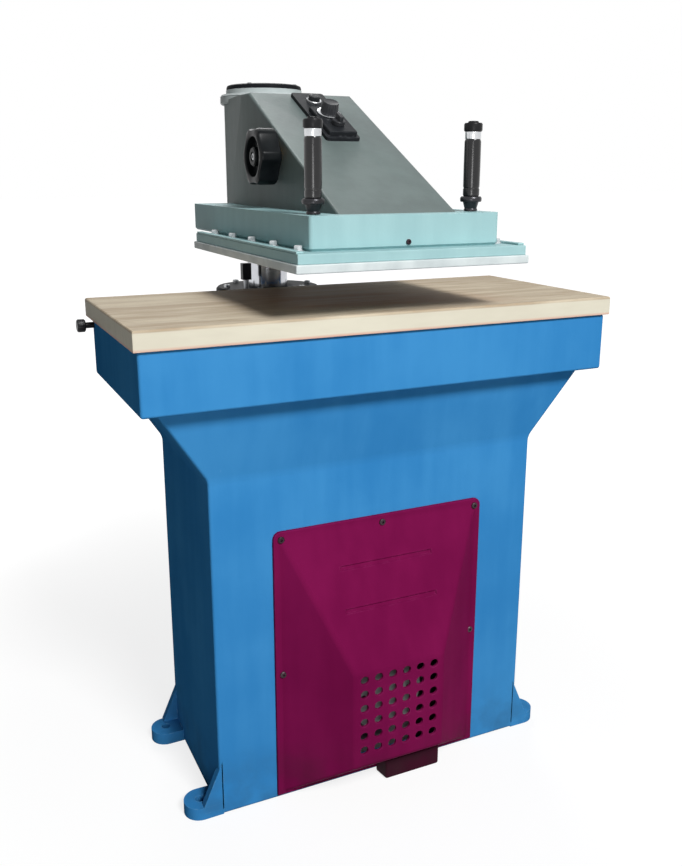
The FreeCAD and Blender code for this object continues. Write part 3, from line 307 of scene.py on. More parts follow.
def nylon(name):
    material, shader, place = new_finish(name)
    streak = noise(place, 9.0, 6, (0.35, 3.2, 1))
    fine = noise(place, 60.0, 4, (0.2, 2.5, 1))
    cuts = noise(place, 46.0, 1, (1, 3.5, 1))
    stain = noise(place, 2.6, 4, (1, 1.4, 1))
    split = "ShaderNodeSeparateXYZ"
    across, along, height = [place.node(split, None, {0: place}, axis) for axis in "XYZ"]
    # The brown patch in the middle of the top lies where the platen's shadow falls: it is partly cut wear and
    # partly painted shadow of the platen.
    platen_shadow_and_wear = (1 - (across + along * 0.4).band(0.06, 0.26)) * across.band(-0.28, -0.12)
    platen_shadow_and_wear = platen_shadow_and_wear * (along + across * 0.166).band(-0.18, -0.11)
    colour = (streak * 0.6 + fine * 0.4).band(0.38, 0.62).blend(tint(174, 157, 134), tint(203, 191, 169))
    worn = platen_shadow_and_wear * (0.2 + streak.band(0.35, 0.62) * 0.35 + stain.band(0.35, 0.65) * 0.35)
    colour = worn.blend(colour, tint(150, 108, 82))
    apart = cuts.node("ShaderNodeMath", {"operation": "ABSOLUTE"}, {0: cuts - 0.5})
    scratch = (1 - apart.band(0.0, 0.012)) * height.band(block_high.z - 0.003, block_high.z - 0.001)
    colour = (scratch * 0.35).blend(colour, tint(172, 140, 104))
    side_band = 1 - height.band(block_high.z - 0.006, block_high.z - 0.003)
    colour = (side_band * 0.75).blend(colour, tint(220, 217, 200))
    foot_line = 1 - height.band(block_low.z + 0.002, block_low.z + 0.006)
    colour = (foot_line * (0.3 + streak * 0.6)).blend(colour, tint(214, 160, 142))
    relief = bump(fine * 0.6 - scratch * 0.5 + streak * 0.3, 0.0008, 0.35)
    coat(shader, Base_Color=colour, Roughness=0.34 + streak * 0.25, Normal=relief, Specular_IOR_Level=0.015)
    return material


bm = bmesh.new()
slab(bm, block_low, block_high)
upper = [e for e in bm.edges if all(v.co.z > block_high.z - 1e-6 for v in e.verts)]
soften(bm, upper, block_edge, 4)
soften(bm, crisp(bm, 60), block_corner, 2)
piece("cutting_block", bm, "base", "board_nylon", nylon("cut_nylon"), "cutting_board")

# Board lock: a small fluted knob on a screw in the left end of the table, which pinches the block.
# Moulded black plastic on a steel stem.
lock_low, lock_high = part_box("board_lock_knob")
lock_axis = Vector((0, (lock_low.y + lock_high.y) / 2, (lock_low.z + lock_high.z) / 2))
lock_radius, lock_length, lock_stem, lock_edge = 0.012, 0.015, 0.0055, 0.002
lock_reach, lock_flutes, lock_flute_depth = lock_high.x - lock_low.x, 12, 0.10


def turned(bm, profile, foot, axis=(0, 0, 1), steps=48):
    """Spins a profile of (radius, height) points round an axis that starts at the foot."""
    axis, foot = Vector(axis), Vector(foot)
    place = Matrix.Translation(foot) @ axis.to_track_quat("Z", "Y").to_matrix().to_4x4()
    line = [bm.verts.new(place @ Vector((radius, 0, height))) for radius, height in profile]
    edges = [bm.edges.new(pair) for pair in zip(line, line[1:])]
    before = set(bm.verts) - set(line)
    bmesh.ops.spin(bm, geom=line + edges, cent=foot, axis=axis, angle=math.tau, steps=steps, use_merge=True)
    fresh = [vert for vert in bm.verts if vert not in before]
    bmesh.ops.remove_doubles(bm, verts=fresh, dist=1e-6)
    return [vert for vert in bm.verts if vert not in before]


def off_axis(vert, foot, axis):
    """The part of a corner's place that lies square to an axis."""
    spoke = vert.co - Vector(foot)
    return spoke - Vector(axis) * spoke.dot(Vector(axis))


def moulded(name, tone, pale, rough, grain=0.2, scale=420.0, shine=0.16):
    """Moulded plastic or rubber: fine moulded grain, dull handling marks and pale scuffs on the edges."""
    material, shader, place = new_finish(name)
    texture = noise(place, scale, 2)
    marks = noise(place, 34.0, 5)
    scuff = rubbed_edge(place, 0.0015) * marks.band(0.45, 0.7)
    colour = (scuff * 0.5 + marks.band(0.4, 0.8) * 0.15).blend(tone, pale)
    relief = bump(texture, 0.0002, grain)
    rough = rough + marks * 0.14
    coat(shader, Base_Color=colour, Roughness=rough, Normal=relief, Specular_IOR_Level=shine)
    return material


black_moulding = moulded("black_moulding", tint(20, 20, 22), tint(66, 66, 68), 0.28)
bm = bmesh.new()
foot = Vector((lock_low.x, lock_axis.y, lock_axis.z))
head = [(0, 0), (lock_radius - lock_edge, 0), (lock_radius, lock_edge)]
head += [(lock_radius, lock_length - lock_edge), (lock_radius - lock_edge, lock_length)]
head += [(lock_stem, lock_length), (lock_stem, lock_reach), (0, lock_reach)]
for vert in turned(bm, head, foot, (1, 0, 0)):
    spoke = off_axis(vert, foot, (1, 0, 0))
    if spoke.length > lock_radius - 0.0005:
        flute = 0.5 + 0.5 * math.cos(lock_flutes * math.atan2(spoke.z, spoke.y))
        vert.co -= spoke * lock_flute_depth * flute
piece("board_lock", bm, "board_lock", "black_plastic", black_moulding, "board_lock_knob")

# Service cover: a moulded shell whose facets rise from a flat rim to a small square face with a vent grille.
# Pressed and welded sheet with soft ridges and two pressed grooves in its upper facet, sprayed maroon.
# It is screwed over the window of the pedestal.
cover_half, cover_low, cover_high = 0.214, 0.008, 0.540
rim_face, rim_corner, rim_depth, rim_edge = -0.161, 0.014, 0.006, 0.002
wedge_half, wedge_low, wedge_high, wedge_ridge = 0.200, 0.014, 0.524, 0.006
wedge_middle = (wedge_low + wedge_high) / 2
flat_half, flat_low, flat_high, flat_face = 0.092, 0.080, 0.274, -0.240
vents, vent_pitch, vent_middle = 6, 0.029, 0.187
vent_radius, vent_land, vent_edge = 0.008, 0.006, 0.0012
groove_half, groove_tall, groove_levels = 0.095, 0.009, (0.380, 0.454)
groove_wall, groove_deep = 0.003, 0.0024
cover_sheet = 0.005
maroon_enamel = enamel(
    "maroon_enamel", tint(118, 19, 71), tint(106, 14, 63), tint(146, 48, 100),
    gloss=0.42, peel=0.10, dust=tint(64, 30, 44), shine=0.006,
)
bm = bmesh.new()
stand = Matrix.Translation((0, rim_face, (cover_low + cover_high) / 2))
stand = stand @ Matrix.Rotation(math.radians(90), 4, "X")
size = Matrix.Diagonal((cover_half, (cover_high - cover_low) / 2, 1, 1))
bmesh.ops.create_grid(bm, x_segments=1, y_segments=1, size=1, matrix=stand @ size)
bmesh.ops.bevel(
    bm, geom=[v for v in bm.verts if v.co.z > cover_high - 1e-6], offset=rim_corner, segments=5,
    profile=0.5, affect="VERTICES", material=-1,
)
wedge_lines = [((side * wedge_half, 0, 0), (1, 0, 0)) for side in (-1, 1)]
wedge_lines += [((0, 0, level), (0, 0, 1)) for level in (wedge_low, wedge_high)]
for spot, lean in wedge_lines:
    score(bm, list(bm.faces), spot, lean)
panel = min(bm.faces, key=lambda f: (f.calc_center_median() - Vector((0, rim_face, wedge_middle))).length)
grown = bmesh.ops.extrude_face_region(bm, geom=[panel] + list(panel.edges))["geom"]
raised = [item for item in grown if isinstance(item, bmesh.types.BMVert)]
for vert in raised:
    level = flat_high if vert.co.z > wedge_middle else flat_low
    vert.co = (math.copysign(flat_half, vert.co.x), flat_face, level)
soften(bm, list({edge for vert in raised for edge in vert.link_edges}), wedge_ridge, 4)
facet_normal = max(bm.faces, key=lambda f: f.calc_area() if 0.2 < f.normal.z < 0.5 else 0).normal.copy()
groove_lines = [((side * groove_half, 0, 0), (1, 0, 0)) for side in (-1, 1)]
groove_lines += [((0, 0, level + rise), (0, 0, 1)) for level in groove_levels for rise in (0, groove_tall)]
for spot, lean in groove_lines:
    score(bm, [f for f in bm.faces if f.normal.dot(facet_normal) > 0.9999], spot, lean)
grooves = []
for face in bm.faces:
    middle = face.calc_center_median()
    within = any(level < middle.z < level + groove_tall for level in groove_levels)
    if within and abs(middle.x) < near_middle and face.normal.dot(facet_normal) > 0.9999:
        grooves.append(face)
bmesh.ops.inset_region(bm, faces=grooves, thickness=groove_wall, depth=-groove_deep)


def on_flat(face):
    return face.normal.y < -0.9999 and face.calc_center_median().y < flat_face + 1e-5


lines = [(step - vents / 2) * vent_pitch for step in range(vents + 1)]
for line in lines:
    for spot, lean in [((line, 0, 0), (1, 0, 0)), ((0, 0, vent_middle + line), (0, 0, 1))]:
        score(bm, [f for f in bm.faces if on_flat(f)], spot, lean)
grid = {}
for face in bm.faces:
    spot = face.calc_center_median()
    whole = face.calc_area() > (vent_pitch * 0.8) ** 2 and spot.z > vent_middle + lines[0]
    if on_flat(face) and whole:
        column, row = round(spot.x / vent_pitch - 0.5), round((spot.z - vent_middle) / vent_pitch - 0.5)
        grid[face] = Vector(((column + 0.5) * vent_pitch, flat_face, vent_middle + (row + 0.5) * vent_pitch))
bmesh.ops.inset_individual(bm, faces=list(grid), thickness=vent_land, depth=0)
for face, centre in grid.items():
    bmesh.ops.subdivide_edges(bm, edges=list(face.edges), cuts=4)
    for vert in face.verts:
        vert.co = centre + (vert.co - centre).normalized() * vent_radius
bmesh.ops.delete(bm, geom=list(grid), context="FACES_ONLY")
edge_line = [e for e in bm.edges if e.is_boundary and all(abs(v.co.y - rim_face) < 1e-6 for v in e.verts)]
back = bmesh.ops.extrude_edge_only(bm, edges=edge_line)["geom"]
bmesh.ops.translate(bm, verts=[v for v in back if isinstance(v, bmesh.types.BMVert)], vec=(0, rim_depth, 0))
tidy(bm)
bmesh.ops.solidify(bm, geom=list(bm.faces), thickness=cover_sheet)
bm.normal_update()
rim_edges = [e for e in crisp(bm, 60, True) if all(abs(v.co.y - rim_face) < 1e-6 for v in e.verts)]
soften(bm, rim_edges, rim_edge, 3)
vent_edges = [e for e in crisp(bm, 60, True) if all(abs(v.co.y - flat_face) < 1e-6 for v in e.verts)]
soften(bm, vent_edges, vent_edge, 2)
piece("vented_cover", bm, "base", "maroon_paint", maroon_enamel, "service_cover")

# Cover screws: five button heads with a hexagon socket, through the rim of the cover into the casting.
# Plated steel, dulled and darkened by the paint shop.
screw_radius, screw_head, screw_socket, screw_seat = 0.0062, 0.004, 0.0026, 0.0005
screw_spots = [(-0.200, 0.526), (0, 0.526), (0.200, 0.526), (-0.200, 0.262), (0.200, 0.262)]


def metal(name, tone, deep, rough, streaks=(1, 1, 1), scale=160.0, polish=1.0, shine=0.5):
    """Bare or plated metal: tool marks along one way, cloudy tarnish and a few dull handling spots."""
    material, shader, place = new_finish(name)
    lines = noise(place, scale, 3, streaks)
    tarnish = noise(place, 14.0, 5)
    colour = (tarnish.band(0.35, 0.7) * 0.6 + lines * 0.25).blend(tone, deep)
    relief = bump(lines, 0.0002, 0.25)
    rough = rough + lines * 0.10 + tarnish * 0.08
    coat(
        shader, Base_Color=colour, Roughness=rough, Normal=relief, Metallic=polish, Specular_IOR_Level=shine
    )
    return material


def socket_screw(bm, foot, axis, radius, height, socket):
    """A turned head with a hexagon socket sunk in its face."""
    edge = radius * 0.2
    profile = [(0, height * 0.4), (socket, height * 0.4), (socket, height), (radius - edge, height)]
    profile += [(radius, height - edge), (radius, 0), (0, 0)]
    upright = Vector(axis).orthogonal().normalized()
    for vert in turned(bm, profile, foot, axis, 24):
        spoke = off_axis(vert, foot, axis)
        if abs(spoke.length - socket) < 1e-6:
            turn = spoke.angle(upright) % math.radians(60) - math.radians(30)
            vert.co += spoke * (math.cos(math.radians(30)) / math.cos(turn) - 1)


dull_steel = metal("dull_plating", tint(78, 66, 72), tint(36, 28, 32), 0.38)
bm = bmesh.new()
for x, z in screw_spots:
    socket_screw(bm, (x, rim_face + screw_seat, z), (0, -1, 0), screw_radius, screw_head, screw_socket)
piece("cover_socket_screws", bm, "base", "fastener_steel", dull_steel, "cover_screws")

# Toe step: the small ledge under the wedge that carries the cover while its screws are set.
# Folded sheet, closed and sprayed a near-black maroon whose darkness is painted shade, for the shade under
# the wedge.
toe_low, toe_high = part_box("cover_toe")
toe_taper, toe_edge = 0.006, 0.004
bm = bmesh.new()
for vert in slab(bm, toe_low, toe_high):
    if vert.co.y < toe_low.y + 1e-6:
        vert.co.x += toe_taper if vert.co.x < (toe_low.x + toe_high.x) / 2 else -toe_taper
soften(bm, [e for e in crisp(bm, 35, True) if e.calc_length() > 0.02], toe_edge, 3)
# The toe's near-black maroon is painted shade: darker than the cover, it stands for the shade under the
# wedge.
toe_painted_shade_enamel = enamel(
    "toe_painted_shade_enamel", tint(58, 8, 32), tint(44, 5, 24), tint(96, 30, 60),
    gloss=0.45, peel=0.12, dust=tint(40, 26, 30),
)
piece("toe_step", bm, "base", "maroon_paint", toe_painted_shade_enamel, "cover_toe")

# Column guide: the casting behind the pedestal that holds the column's bushes and the cylinder.
# Cast iron with a cored web and a bolted flange, sprayed with the pedestal.
guide_edge = 0.003


def cad_copy(node):
    """A welded copy of a CAD node, with its flat faces joined."""
    bm = bmesh.new()
    bm.from_mesh(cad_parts[node].data)
    bmesh.ops.remove_doubles(bm, verts=bm.verts, dist=1e-5)
    bmesh.ops.dissolve_limit(bm, angle_limit=math.radians(0.5), verts=bm.verts, edges=bm.edges)
    bm.normal_update()
    return bm


bm = cad_copy("rear_column_housing")
soften(bm, [e for e in crisp(bm, 50, True) if e.calc_length() > 0.008], guide_edge, 2)
piece("column_guide", bm, "base", "blue_paint", blue_enamel, "rear_column_housing")

# Guide bolts: eight hexagon heads on washers that hold the guide's flange to the pedestal.
# Plated steel.
bolt_low, bolt_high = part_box("housing_bolts")
bolt_rows, bolt_x, bolt_first, bolt_last, bolt_radius, bolt_washer = 4, 0.116, 0.084, 0.822, 0.0118, 0.0145


def hex_bolt(bm, foot, axis, radius, height, washer):
    """A washer with a chamfered hexagon head on it."""
    thick = height * 0.18
    turned(bm, [(0, 0), (washer, 0), (washer, thick), (0, thick)], foot, axis, 32)
    start = Vector(foot) + Vector(axis) * thick
    head = [(0, 0), (radius, 0), (radius, height - thick * 1.6)]
    head += [(radius * 0.84, height - thick), (0, height - thick)]
    turned(bm, head, start, axis, 6)


plated_steel = metal("plated_steel", tint(176, 178, 180), tint(112, 112, 114), 0.28)
bm = bmesh.new()
for row in range(bolt_rows):
    z = bolt_first + (bolt_last - bolt_first) * row / (bolt_rows - 1)
    for x in (-bolt_x, bolt_x):
        hex_bolt(bm, (x, bolt_low.y, z), (0, 1, 0), bolt_radius, bolt_high.y - bolt_low.y, bolt_washer)
piece("guide_bolts", bm, "base", "fastener_steel", plated_steel, "housing_bolts")

# Column gland: the black ring on the guide that wipes the column, with six socket screws.
# Turned steel with a chamfered rim, blackened.
column_y, housing_top, gland_top = 0.416, 0.880, 0.897
gland_bore, gland_radius, gland_screws, gland_circle = 0.0455, 0.118, 6, 0.098
gland_head, gland_socket = 0.007, 0.0032
black_enamel = enamel(
    "black_enamel", tint(32, 33, 36), tint(22, 23, 25), tint(80, 82, 84), gloss=0.28, peel=0.1, shine=0.012
)
bm = bmesh.new()
ring = [(gland_bore, 0), (gland_radius, 0), (gland_radius, 0.0125), (0.1135, 0.017), (0.060, 0.017)]
ring += [(0.054, 0.013), (gland_bore, 0.013), (gland_bore, 0)]
turned(bm, ring, (0, column_y, housing_top), steps=72)
piece("gland_ring", bm, "base", "black_enamel", black_enamel, "column_gland")
bm = bmesh.new()
for step in range(gland_screws):
    turn = math.tau * step / gland_screws
    spot = (gland_circle * math.cos(turn), column_y + gland_circle * math.sin(turn), gland_top)
    socket_screw(bm, spot, (0, 0, 1), gland_head, gland_head, gland_socket)
piece("gland_screws", bm, "base", "fastener_steel", plated_steel, "gland_bolts")

# Stroke switch: a small limit switch clamped to its post beside the column.
# Moulded black box with a lid line and a moulded roller; the post is drawn steel.
switch_low, switch_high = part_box("stroke_switch")
lid_margin, lid_groove, switch_edge = 0.0012, 0.0008, 0.0012
roller_radius, roller_width, roller_drop = 0.005, 0.006, 0.006
drawn_steel = metal("drawn_steel", tint(168, 170, 172), tint(104, 104, 106), 0.26, (1, 1, 0.06))


def dress(finish, *nodes):
    """Gives CAD nodes that keep their own shape a finish."""
    for name in nodes:
        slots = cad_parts[name].data.materials
        slots.clear()
        slots.append(finish)


bm = bmesh.new()
slab(bm, switch_low, switch_high)
lid = [f for f in bm.faces if f.normal.y < -0.9]
bmesh.ops.inset_region(bm, faces=lid, thickness=lid_margin, depth=0)
bmesh.ops.inset_region(bm, faces=lid, thickness=lid_groove, depth=-lid_margin)
soften(bm, [e for e in crisp(bm, 60, True) if e.calc_length() > 0.01], switch_edge, 2)
roller = ((switch_low.x + switch_high.x) / 2, switch_high.y, switch_high.z - roller_drop)
wheel = [(0, 0), (roller_radius, 0), (roller_radius, roller_width), (0, roller_width)]
turned(bm, wheel, roller, (0, 1, 0), 24)
piece("limit_switch", bm, "base", "black_plastic", black_moulding, "stroke_switch")
dress(drawn_steel, "switch_post")

# Bearings, cylinder and depth cam: the bushes, washer, nut, piston and cam shaft, shut inside the castings.
# Turned bronze and honed steel, pressed into their bores or screwed to the column.
bronze = metal("bearing_bronze", tint(196, 150, 84), tint(142, 100, 48), 0.3, (1, 1, 0.1))
dress(bronze, "upper_column_bush", "lower_column_bush", "hub_bushes", "wheel_bush")
dress(bronze, "thrust_washer", "piston_rings")
dress(drawn_steel, "cylinder_gland", "cylinder_liner", "piston", "column_nut", "wheel_shaft", "depth_cam")

# Power pack: tank, motor, pump and valve on the shelf inside the pedestal, seen only through the vents.
# Grey sheet steel, painted iron, a moulded fan and bright pipes.
tank_sheet = enamel(
    "tank_sheet", tint(150, 152, 152), tint(128, 130, 131), tint(178, 180, 180), gloss=0.42, peel=0.15
)
motor_paint = enamel(
    "motor_paint", tint(106, 110, 114), tint(86, 90, 94), tint(150, 152, 154), gloss=0.45, peel=0.3
)
fan_moulding = moulded("fan_moulding", tint(58, 58, 60), tint(96, 96, 98), 0.4)
dress(tank_sheet, "tank_shelf", "oil_tank", "fan_cover", "control_box")
dress(motor_paint, "motor_body", "bell_housing", "gear_pump")
dress(drawn_steel, "motor_shaft", "shaft_coupling", "valve_block", "pressure_pipe", "feed_pipe")
dress(fan_moulding, "motor_fan")
dress(black_moulding, "solenoid_valve")

# Column: the ground and chromed post that carries the arm and moves down to cut.
# One turned steel bar with a thrust collar under the arm.
post_low, post_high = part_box("column_post")
post_radius, post_edge = 0.045, 0.002
thrust_radius, thrust_low, thrust_high, thrust_edge = 0.062, 1.0097, 1.0237, 0.0015
chrome = metal("hard_chrome", tint(206, 208, 212), tint(168, 170, 175), 0.06, (1, 1, 0.08), 90.0)
bm = bmesh.new()
profile = [(0, post_low.z), (post_radius - post_edge, post_low.z), (post_radius, post_low.z + post_edge)]
profile += [(post_radius, thrust_low), (thrust_radius - thrust_edge, thrust_low)]
profile += [(thrust_radius, thrust_low + thrust_edge), (thrust_radius, thrust_high - thrust_edge)]
profile += [(thrust_radius - thrust_edge, thrust_high), (post_radius, thrust_high)]
profile += [(post_radius, post_high.z - post_edge), (post_radius - post_edge, post_high.z), (0, post_high.z)]
turned(bm, profile, (0, column_y, 0), steps=72)
piece("chromed_column", bm, "column", "column_chrome", chrome, "column_post")

# Swing arm: one casting with a flat beam over the platen, a ramp body and the hub that turns on the column.
# Cast iron; the body is sprayed grey-green and the beam a paler tone of it, which is partly paint and partly
# painted light for the strong light on the beam's front.
beam_top, beam_front = 1.084, -0.240
arm_edge, paint_line = 0.0022, 0.0015
arm_enamel = enamel(
    "grey_green_enamel", tint(109, 122, 120), tint(98, 109, 108), tint(156, 165, 163), gloss=0.36, peel=0.30
)
# The beam's pale tone is partly paint and partly painted light: it stands for the strong light on the beam's
# front.
beam_paint_and_painted_light = enamel(
    "pale_green_and_painted_light_enamel", tint(160, 196, 198), tint(148, 184, 187), tint(194, 216, 216), gloss=0.34, peel=0.18
)
bm = cad_copy("arm_casting")
soften(bm, [e for e in crisp(bm, 50, True) if e.calc_length() > 0.01], arm_edge, 2)
for face in bm.faces:
    face.material_index = int(face.calc_center_median().z < beam_top + paint_line)
piece("swing_arm", bm, "arm", "arm_paint", [arm_enamel, beam_paint_and_painted_light], "arm_casting")

# Hub collar and cap: the ring that closes the hub over the nut, and the dished black cap screwed to it.
# Turned steel; the ring and the foot of the cap are painted pale grey, the rest of the cap black.
collar_low, collar_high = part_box("hub_collar")
cap_low, cap_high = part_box("hub_cap")
collar_bore, collar_radius, collar_shoulder, collar_groove = 0.063, 0.095, 0.092, 0.0935
cap_radius, cap_side, cap_drop, cap_dish, cap_screws, cap_circle = 0.082, 0.0812, 0.005, 0.0025, 4, 0.072
cap_head, cap_head_tall, cap_socket = 0.005, 0.004, 0.0023
collar_enamel = enamel(
    "collar_enamel", tint(190, 198, 198), tint(172, 182, 182), tint(216, 220, 220), gloss=0.3, peel=0.12
)
bm = bmesh.new()
tall = collar_high.z - collar_low.z
ring = [(collar_bore, 0), (collar_shoulder, 0), (collar_radius, 0.003), (collar_radius, tall - 0.006)]
ring += [(collar_groove, tall - 0.0055), (collar_groove, tall - 0.0045), (collar_radius, tall - 0.004)]
ring += [(collar_shoulder, tall), (collar_bore, tall), (collar_bore, 0)]
turned(bm, ring, (0, column_y, collar_low.z), steps=96)
piece("collar_ring", bm, "arm", "arm_paint", collar_enamel, "hub_collar")
bm = bmesh.new()
tall = cap_high.z - cap_low.z - cap_drop
cap_foot = tall * 0.5
dome = [(0.062, 0), (cap_radius, 0), (cap_radius, cap_foot), (cap_side, cap_foot + 0.0006)]
dome += [(cap_side, tall - 0.006), (0.0798, tall - 0.0018), (0.076, tall), (0.064, tall)]
dome += [(0.060, tall - cap_dish), (0.020, tall - cap_dish), (0.016, tall - 0.001), (0, tall - 0.001)]
turned(bm, dome, (0, column_y, cap_low.z), steps=96)
for face in bm.faces:
    face.material_index = int(face.calc_center_median().z < cap_low.z + cap_foot)
piece("hub_cover_cap", bm, "arm", "black_enamel", [black_enamel, collar_enamel], "hub_cap")
bm = bmesh.new()
cap_face = cap_high.z - cap_drop - cap_dish
for step in range(cap_screws):
    turn = math.tau * (step + 0.5) / cap_screws
    spot = (cap_circle * math.cos(turn), column_y + cap_circle * math.sin(turn), cap_face)
    socket_screw(bm, spot, (0, 0, 1), cap_head, cap_head_tall, cap_socket)
piece("cap_socket_screws", bm, "arm", "fastener_steel", plated_steel, "cap_screws")

# Platen: the carrier plate under the beam and the striking plate below it, with a rail along each side.
# The carrier is milled and sprayed the beam's pale green, which is partly painted light; the striking plate
# is bare milled aluminium.
rail_width, rail_share, rail_edge = 0.012, 0.45, 0.0012
milled = metal(
    "milled_aluminium", tint(214, 222, 222), tint(176, 186, 188), 0.40,
    streaks=(0.12, 1, 1), scale=120.0, polish=0.06, shine=0.04,
)
for name, node, slot, finish, edge in (
    ("platen_slab", "platen_carrier", "carrier_paint", beam_paint_and_painted_light, 0.0015),
    ("strike_plate", "striking_plate", "plate_aluminium", milled, 0.002),
):
    bm = bmesh.new()
    slab(bm, *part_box(node))
    soften(bm, crisp(bm), edge, 3)
    piece(name, bm, "arm", slot, finish, node)
rail_low, rail_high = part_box("clamp_bars")
rail_top = rail_low.z + (rail_high.z - rail_low.z) * rail_share
bm = bmesh.new()
for outer in (rail_low.x, rail_high.x):
    inner = outer - math.copysign(rail_width, outer)
    slab(bm, (min(inner, outer), rail_low.y, rail_low.z), (max(inner, outer), rail_high.y, rail_top))
soften(bm, crisp(bm), rail_edge, 2)
piece("ledge_rails", bm, "arm", "bright_steel", beam_paint_and_painted_light, "clamp_bars")

# Platen bolts: a row of hexagon heads on each ledge, and the screw in the front of the beam.
# Plated steel.
ledge_low, ledge_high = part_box("clamp_bolts")
front_low, front_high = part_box("centre_screw")
ledge_x, ledge_front, ledge_run, ledge_row = 0.185, -0.274, 0.539, 5
ledge_head, ledge_washer, front_head, front_socket = 0.0069, 0.0082, 0.0045, 0.002
bm = bmesh.new()
for x in (-ledge_x, ledge_x):
    for step in range(ledge_row):
        spot = (x, ledge_front + ledge_run * (step + 0.5) / ledge_row, ledge_low.z)
        hex_bolt(bm, spot, (0, 0, 1), ledge_head, ledge_high.z - ledge_low.z, ledge_washer)
zinc_steel = metal("zinc_steel", tint(226, 228, 230), tint(186, 188, 190), 0.30, polish=0.6)
piece("ledge_bolts", bm, "arm", "fastener_steel", zinc_steel, "clamp_bolts")
bm = bmesh.new()
spot = (0, beam_front, (front_low.z + front_high.z) / 2)
socket_screw(bm, spot, (0, -1, 0), front_head, beam_front - front_low.y, front_socket)
piece("beam_front_screw", bm, "arm", "fastener_steel", dull_steel, "centre_screw")

# Handles: two posts at the front of the beam, each with a rubber sleeve, a bright ring and a hooded button.
# Turned steel posts blackened at the foot, moulded sleeves, plated rings, moulded hoods and buttons.
handle_x, handle_y = 0.147, -0.193
grip_z, ring_z, hood_z = 1.109, 1.203, 1.215
post_core, push_core, push_stem, push_radius, push_tall = 0.009, 0.0045, 0.004, 0.009, 0.009
sleeve_rubber = moulded("sleeve_rubber", tint(8, 8, 10), tint(22, 22, 25), 0.16, grain=0.0, shine=0.5)
bright_ring = metal("bright_ring", tint(222, 224, 226), tint(170, 172, 176), 0.14, (1, 1, 0.1))
posts, sleeves, rings, hoods = [bmesh.new() for _ in range(4)]
for x in (-handle_x, handle_x):
    root = [(0, -0.016), (post_core, -0.016), (post_core, 0.0005), (0.0115, 0.001), (0.0115, 0.0035)]
    root += [(0.0105, 0.005), (0.0135, 0.0155), (0.0175, 0.016), (0.0185, 0.0185), (0.0185, 0.0225)]
    root += [(0.0165, 0.025), (post_core, 0.025), (post_core, 0.118), (0, 0.118)]
    turned(posts, root, (x, handle_y, beam_top))
    sleeve = [(0.0092, 0), (0.0125, 0), (0.014, 0.002), (0.014, 0.012), (0.0133, 0.013), (0.0133, 0.015)]
    sleeve += [(0.014, 0.016), (0.0142, 0.050), (0.014, 0.090), (0.0125, 0.094), (0.0092, 0.094), (0.0092, 0)]
    turned(sleeves, sleeve, (x, handle_y, grip_z))
    band = [(push_core, 0), (0.0128, 0), (0.0135, 0.0008), (0.0135, 0.0112), (0.0128, 0.012)]
    band += [(push_core, 0.012), (push_core, 0)]
    turned(rings, band, (x, handle_y, ring_z))
    hood = [(push_core, 0), (0.0140, 0), (0.0155, 0.002), (0.0155, 0.012), (0.0140, 0.014), (0.0112, 0.014)]
    hood += [(0.0098, 0.0125), (0.0098, 0.004), (push_core, 0.004), (push_core, 0)]
    turned(hoods, hood, (x, handle_y, hood_z))
black_steel = metal("blackened_steel", tint(60, 60, 63), tint(24, 24, 26), 0.22, polish=0.8)
piece("handle_posts", posts, "arm", "bright_steel", black_steel, "handle_stems")
piece("hand_sleeves", sleeves, "arm", "grip_rubber", sleeve_rubber, "handle_grips")
piece("bright_rings", rings, "arm", "bright_steel", bright_ring, "handle_rings")
piece("button_hoods", hoods, "arm", "black_plastic", black_moulding, "handle_hoods")
button_black = moulded("button_black", tint(30, 30, 32), tint(80, 80, 82), 0.2, 0.05)
for side, x in (("left", -handle_x), ("right", handle_x)):
    low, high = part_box(side + "_thumb_button")
    tall = high.z - low.z
    push = [(0, 0), (push_stem, 0), (push_stem, tall - push_tall), (push_radius, tall - push_tall)]
    push += [(push_radius, tall - 0.0018), (0.0078, tall - 0.0004), (0.004, tall), (0, tall - 0.0006)]
    bm = bmesh.new()
    turned(bm, push, (x, handle_y, low.z))
    piece(side + "_push_button", bm, side + "_button", "button_black", button_black, side + "_thumb_button")

# Depth handwheel: the six-sided hand knob on the arm's left flank that sets the depth of the cut.
# Moulded black, thick, with a dished face round its hub and a bright screw in the middle.
wheel_low, wheel_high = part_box("depth_handwheel")
wheel_foot = Vector((wheel_high.x, (wheel_low.y + wheel_high.y) / 2, (wheel_low.z + wheel_high.z) / 2))
wheel_radius, wheel_bore, wheel_deep = 0.053, 0.0085, wheel_high.x - wheel_low.x
scallop_radius, scallop_centre, scallop_inner = 0.090, 0.137, 0.040
hub_screw, hub_screw_tall, hub_screw_socket, hub_screw_sink = 0.0075, 0.004, 0.003, 0.006
bm = bmesh.new()
rim = [(wheel_bore, 0), (0.047, 0), (0.051, 0.002), (wheel_radius, 0.006), (wheel_radius, wheel_deep - 0.007)]
rim += [(0.051, wheel_deep - 0.002), (0.046, wheel_deep), (0.038, wheel_deep), (0.0355, wheel_deep - 0.002)]
rim += [(0.034, wheel_deep - 0.013), (0.0185, wheel_deep - 0.014), (0.017, wheel_deep - 0.012)]
rim += [(0.017, wheel_deep - 0.003), (0.015, wheel_deep - 0.001)]
rim += [(wheel_bore, wheel_deep - 0.001), (wheel_bore, 0)]
for vert in turned(bm, rim, wheel_foot, (-1, 0, 0), 120):
    spoke = off_axis(vert, wheel_foot, (-1, 0, 0))
    if spoke.length > scallop_inner:
        turn = math.atan2(spoke.z, spoke.y) % math.radians(60) - math.radians(30)
        reach = scallop_centre * math.cos(turn)
        reach -= math.sqrt(scallop_radius**2 - (scallop_centre * math.sin(turn)) ** 2)
        vert.co += spoke * (min(1, reach / wheel_radius) - 1)
black_wheel = moulded("black_wheel", tint(14, 17, 19), tint(52, 58, 60), 0.24, 0.12, 260.0, shine=0.08)
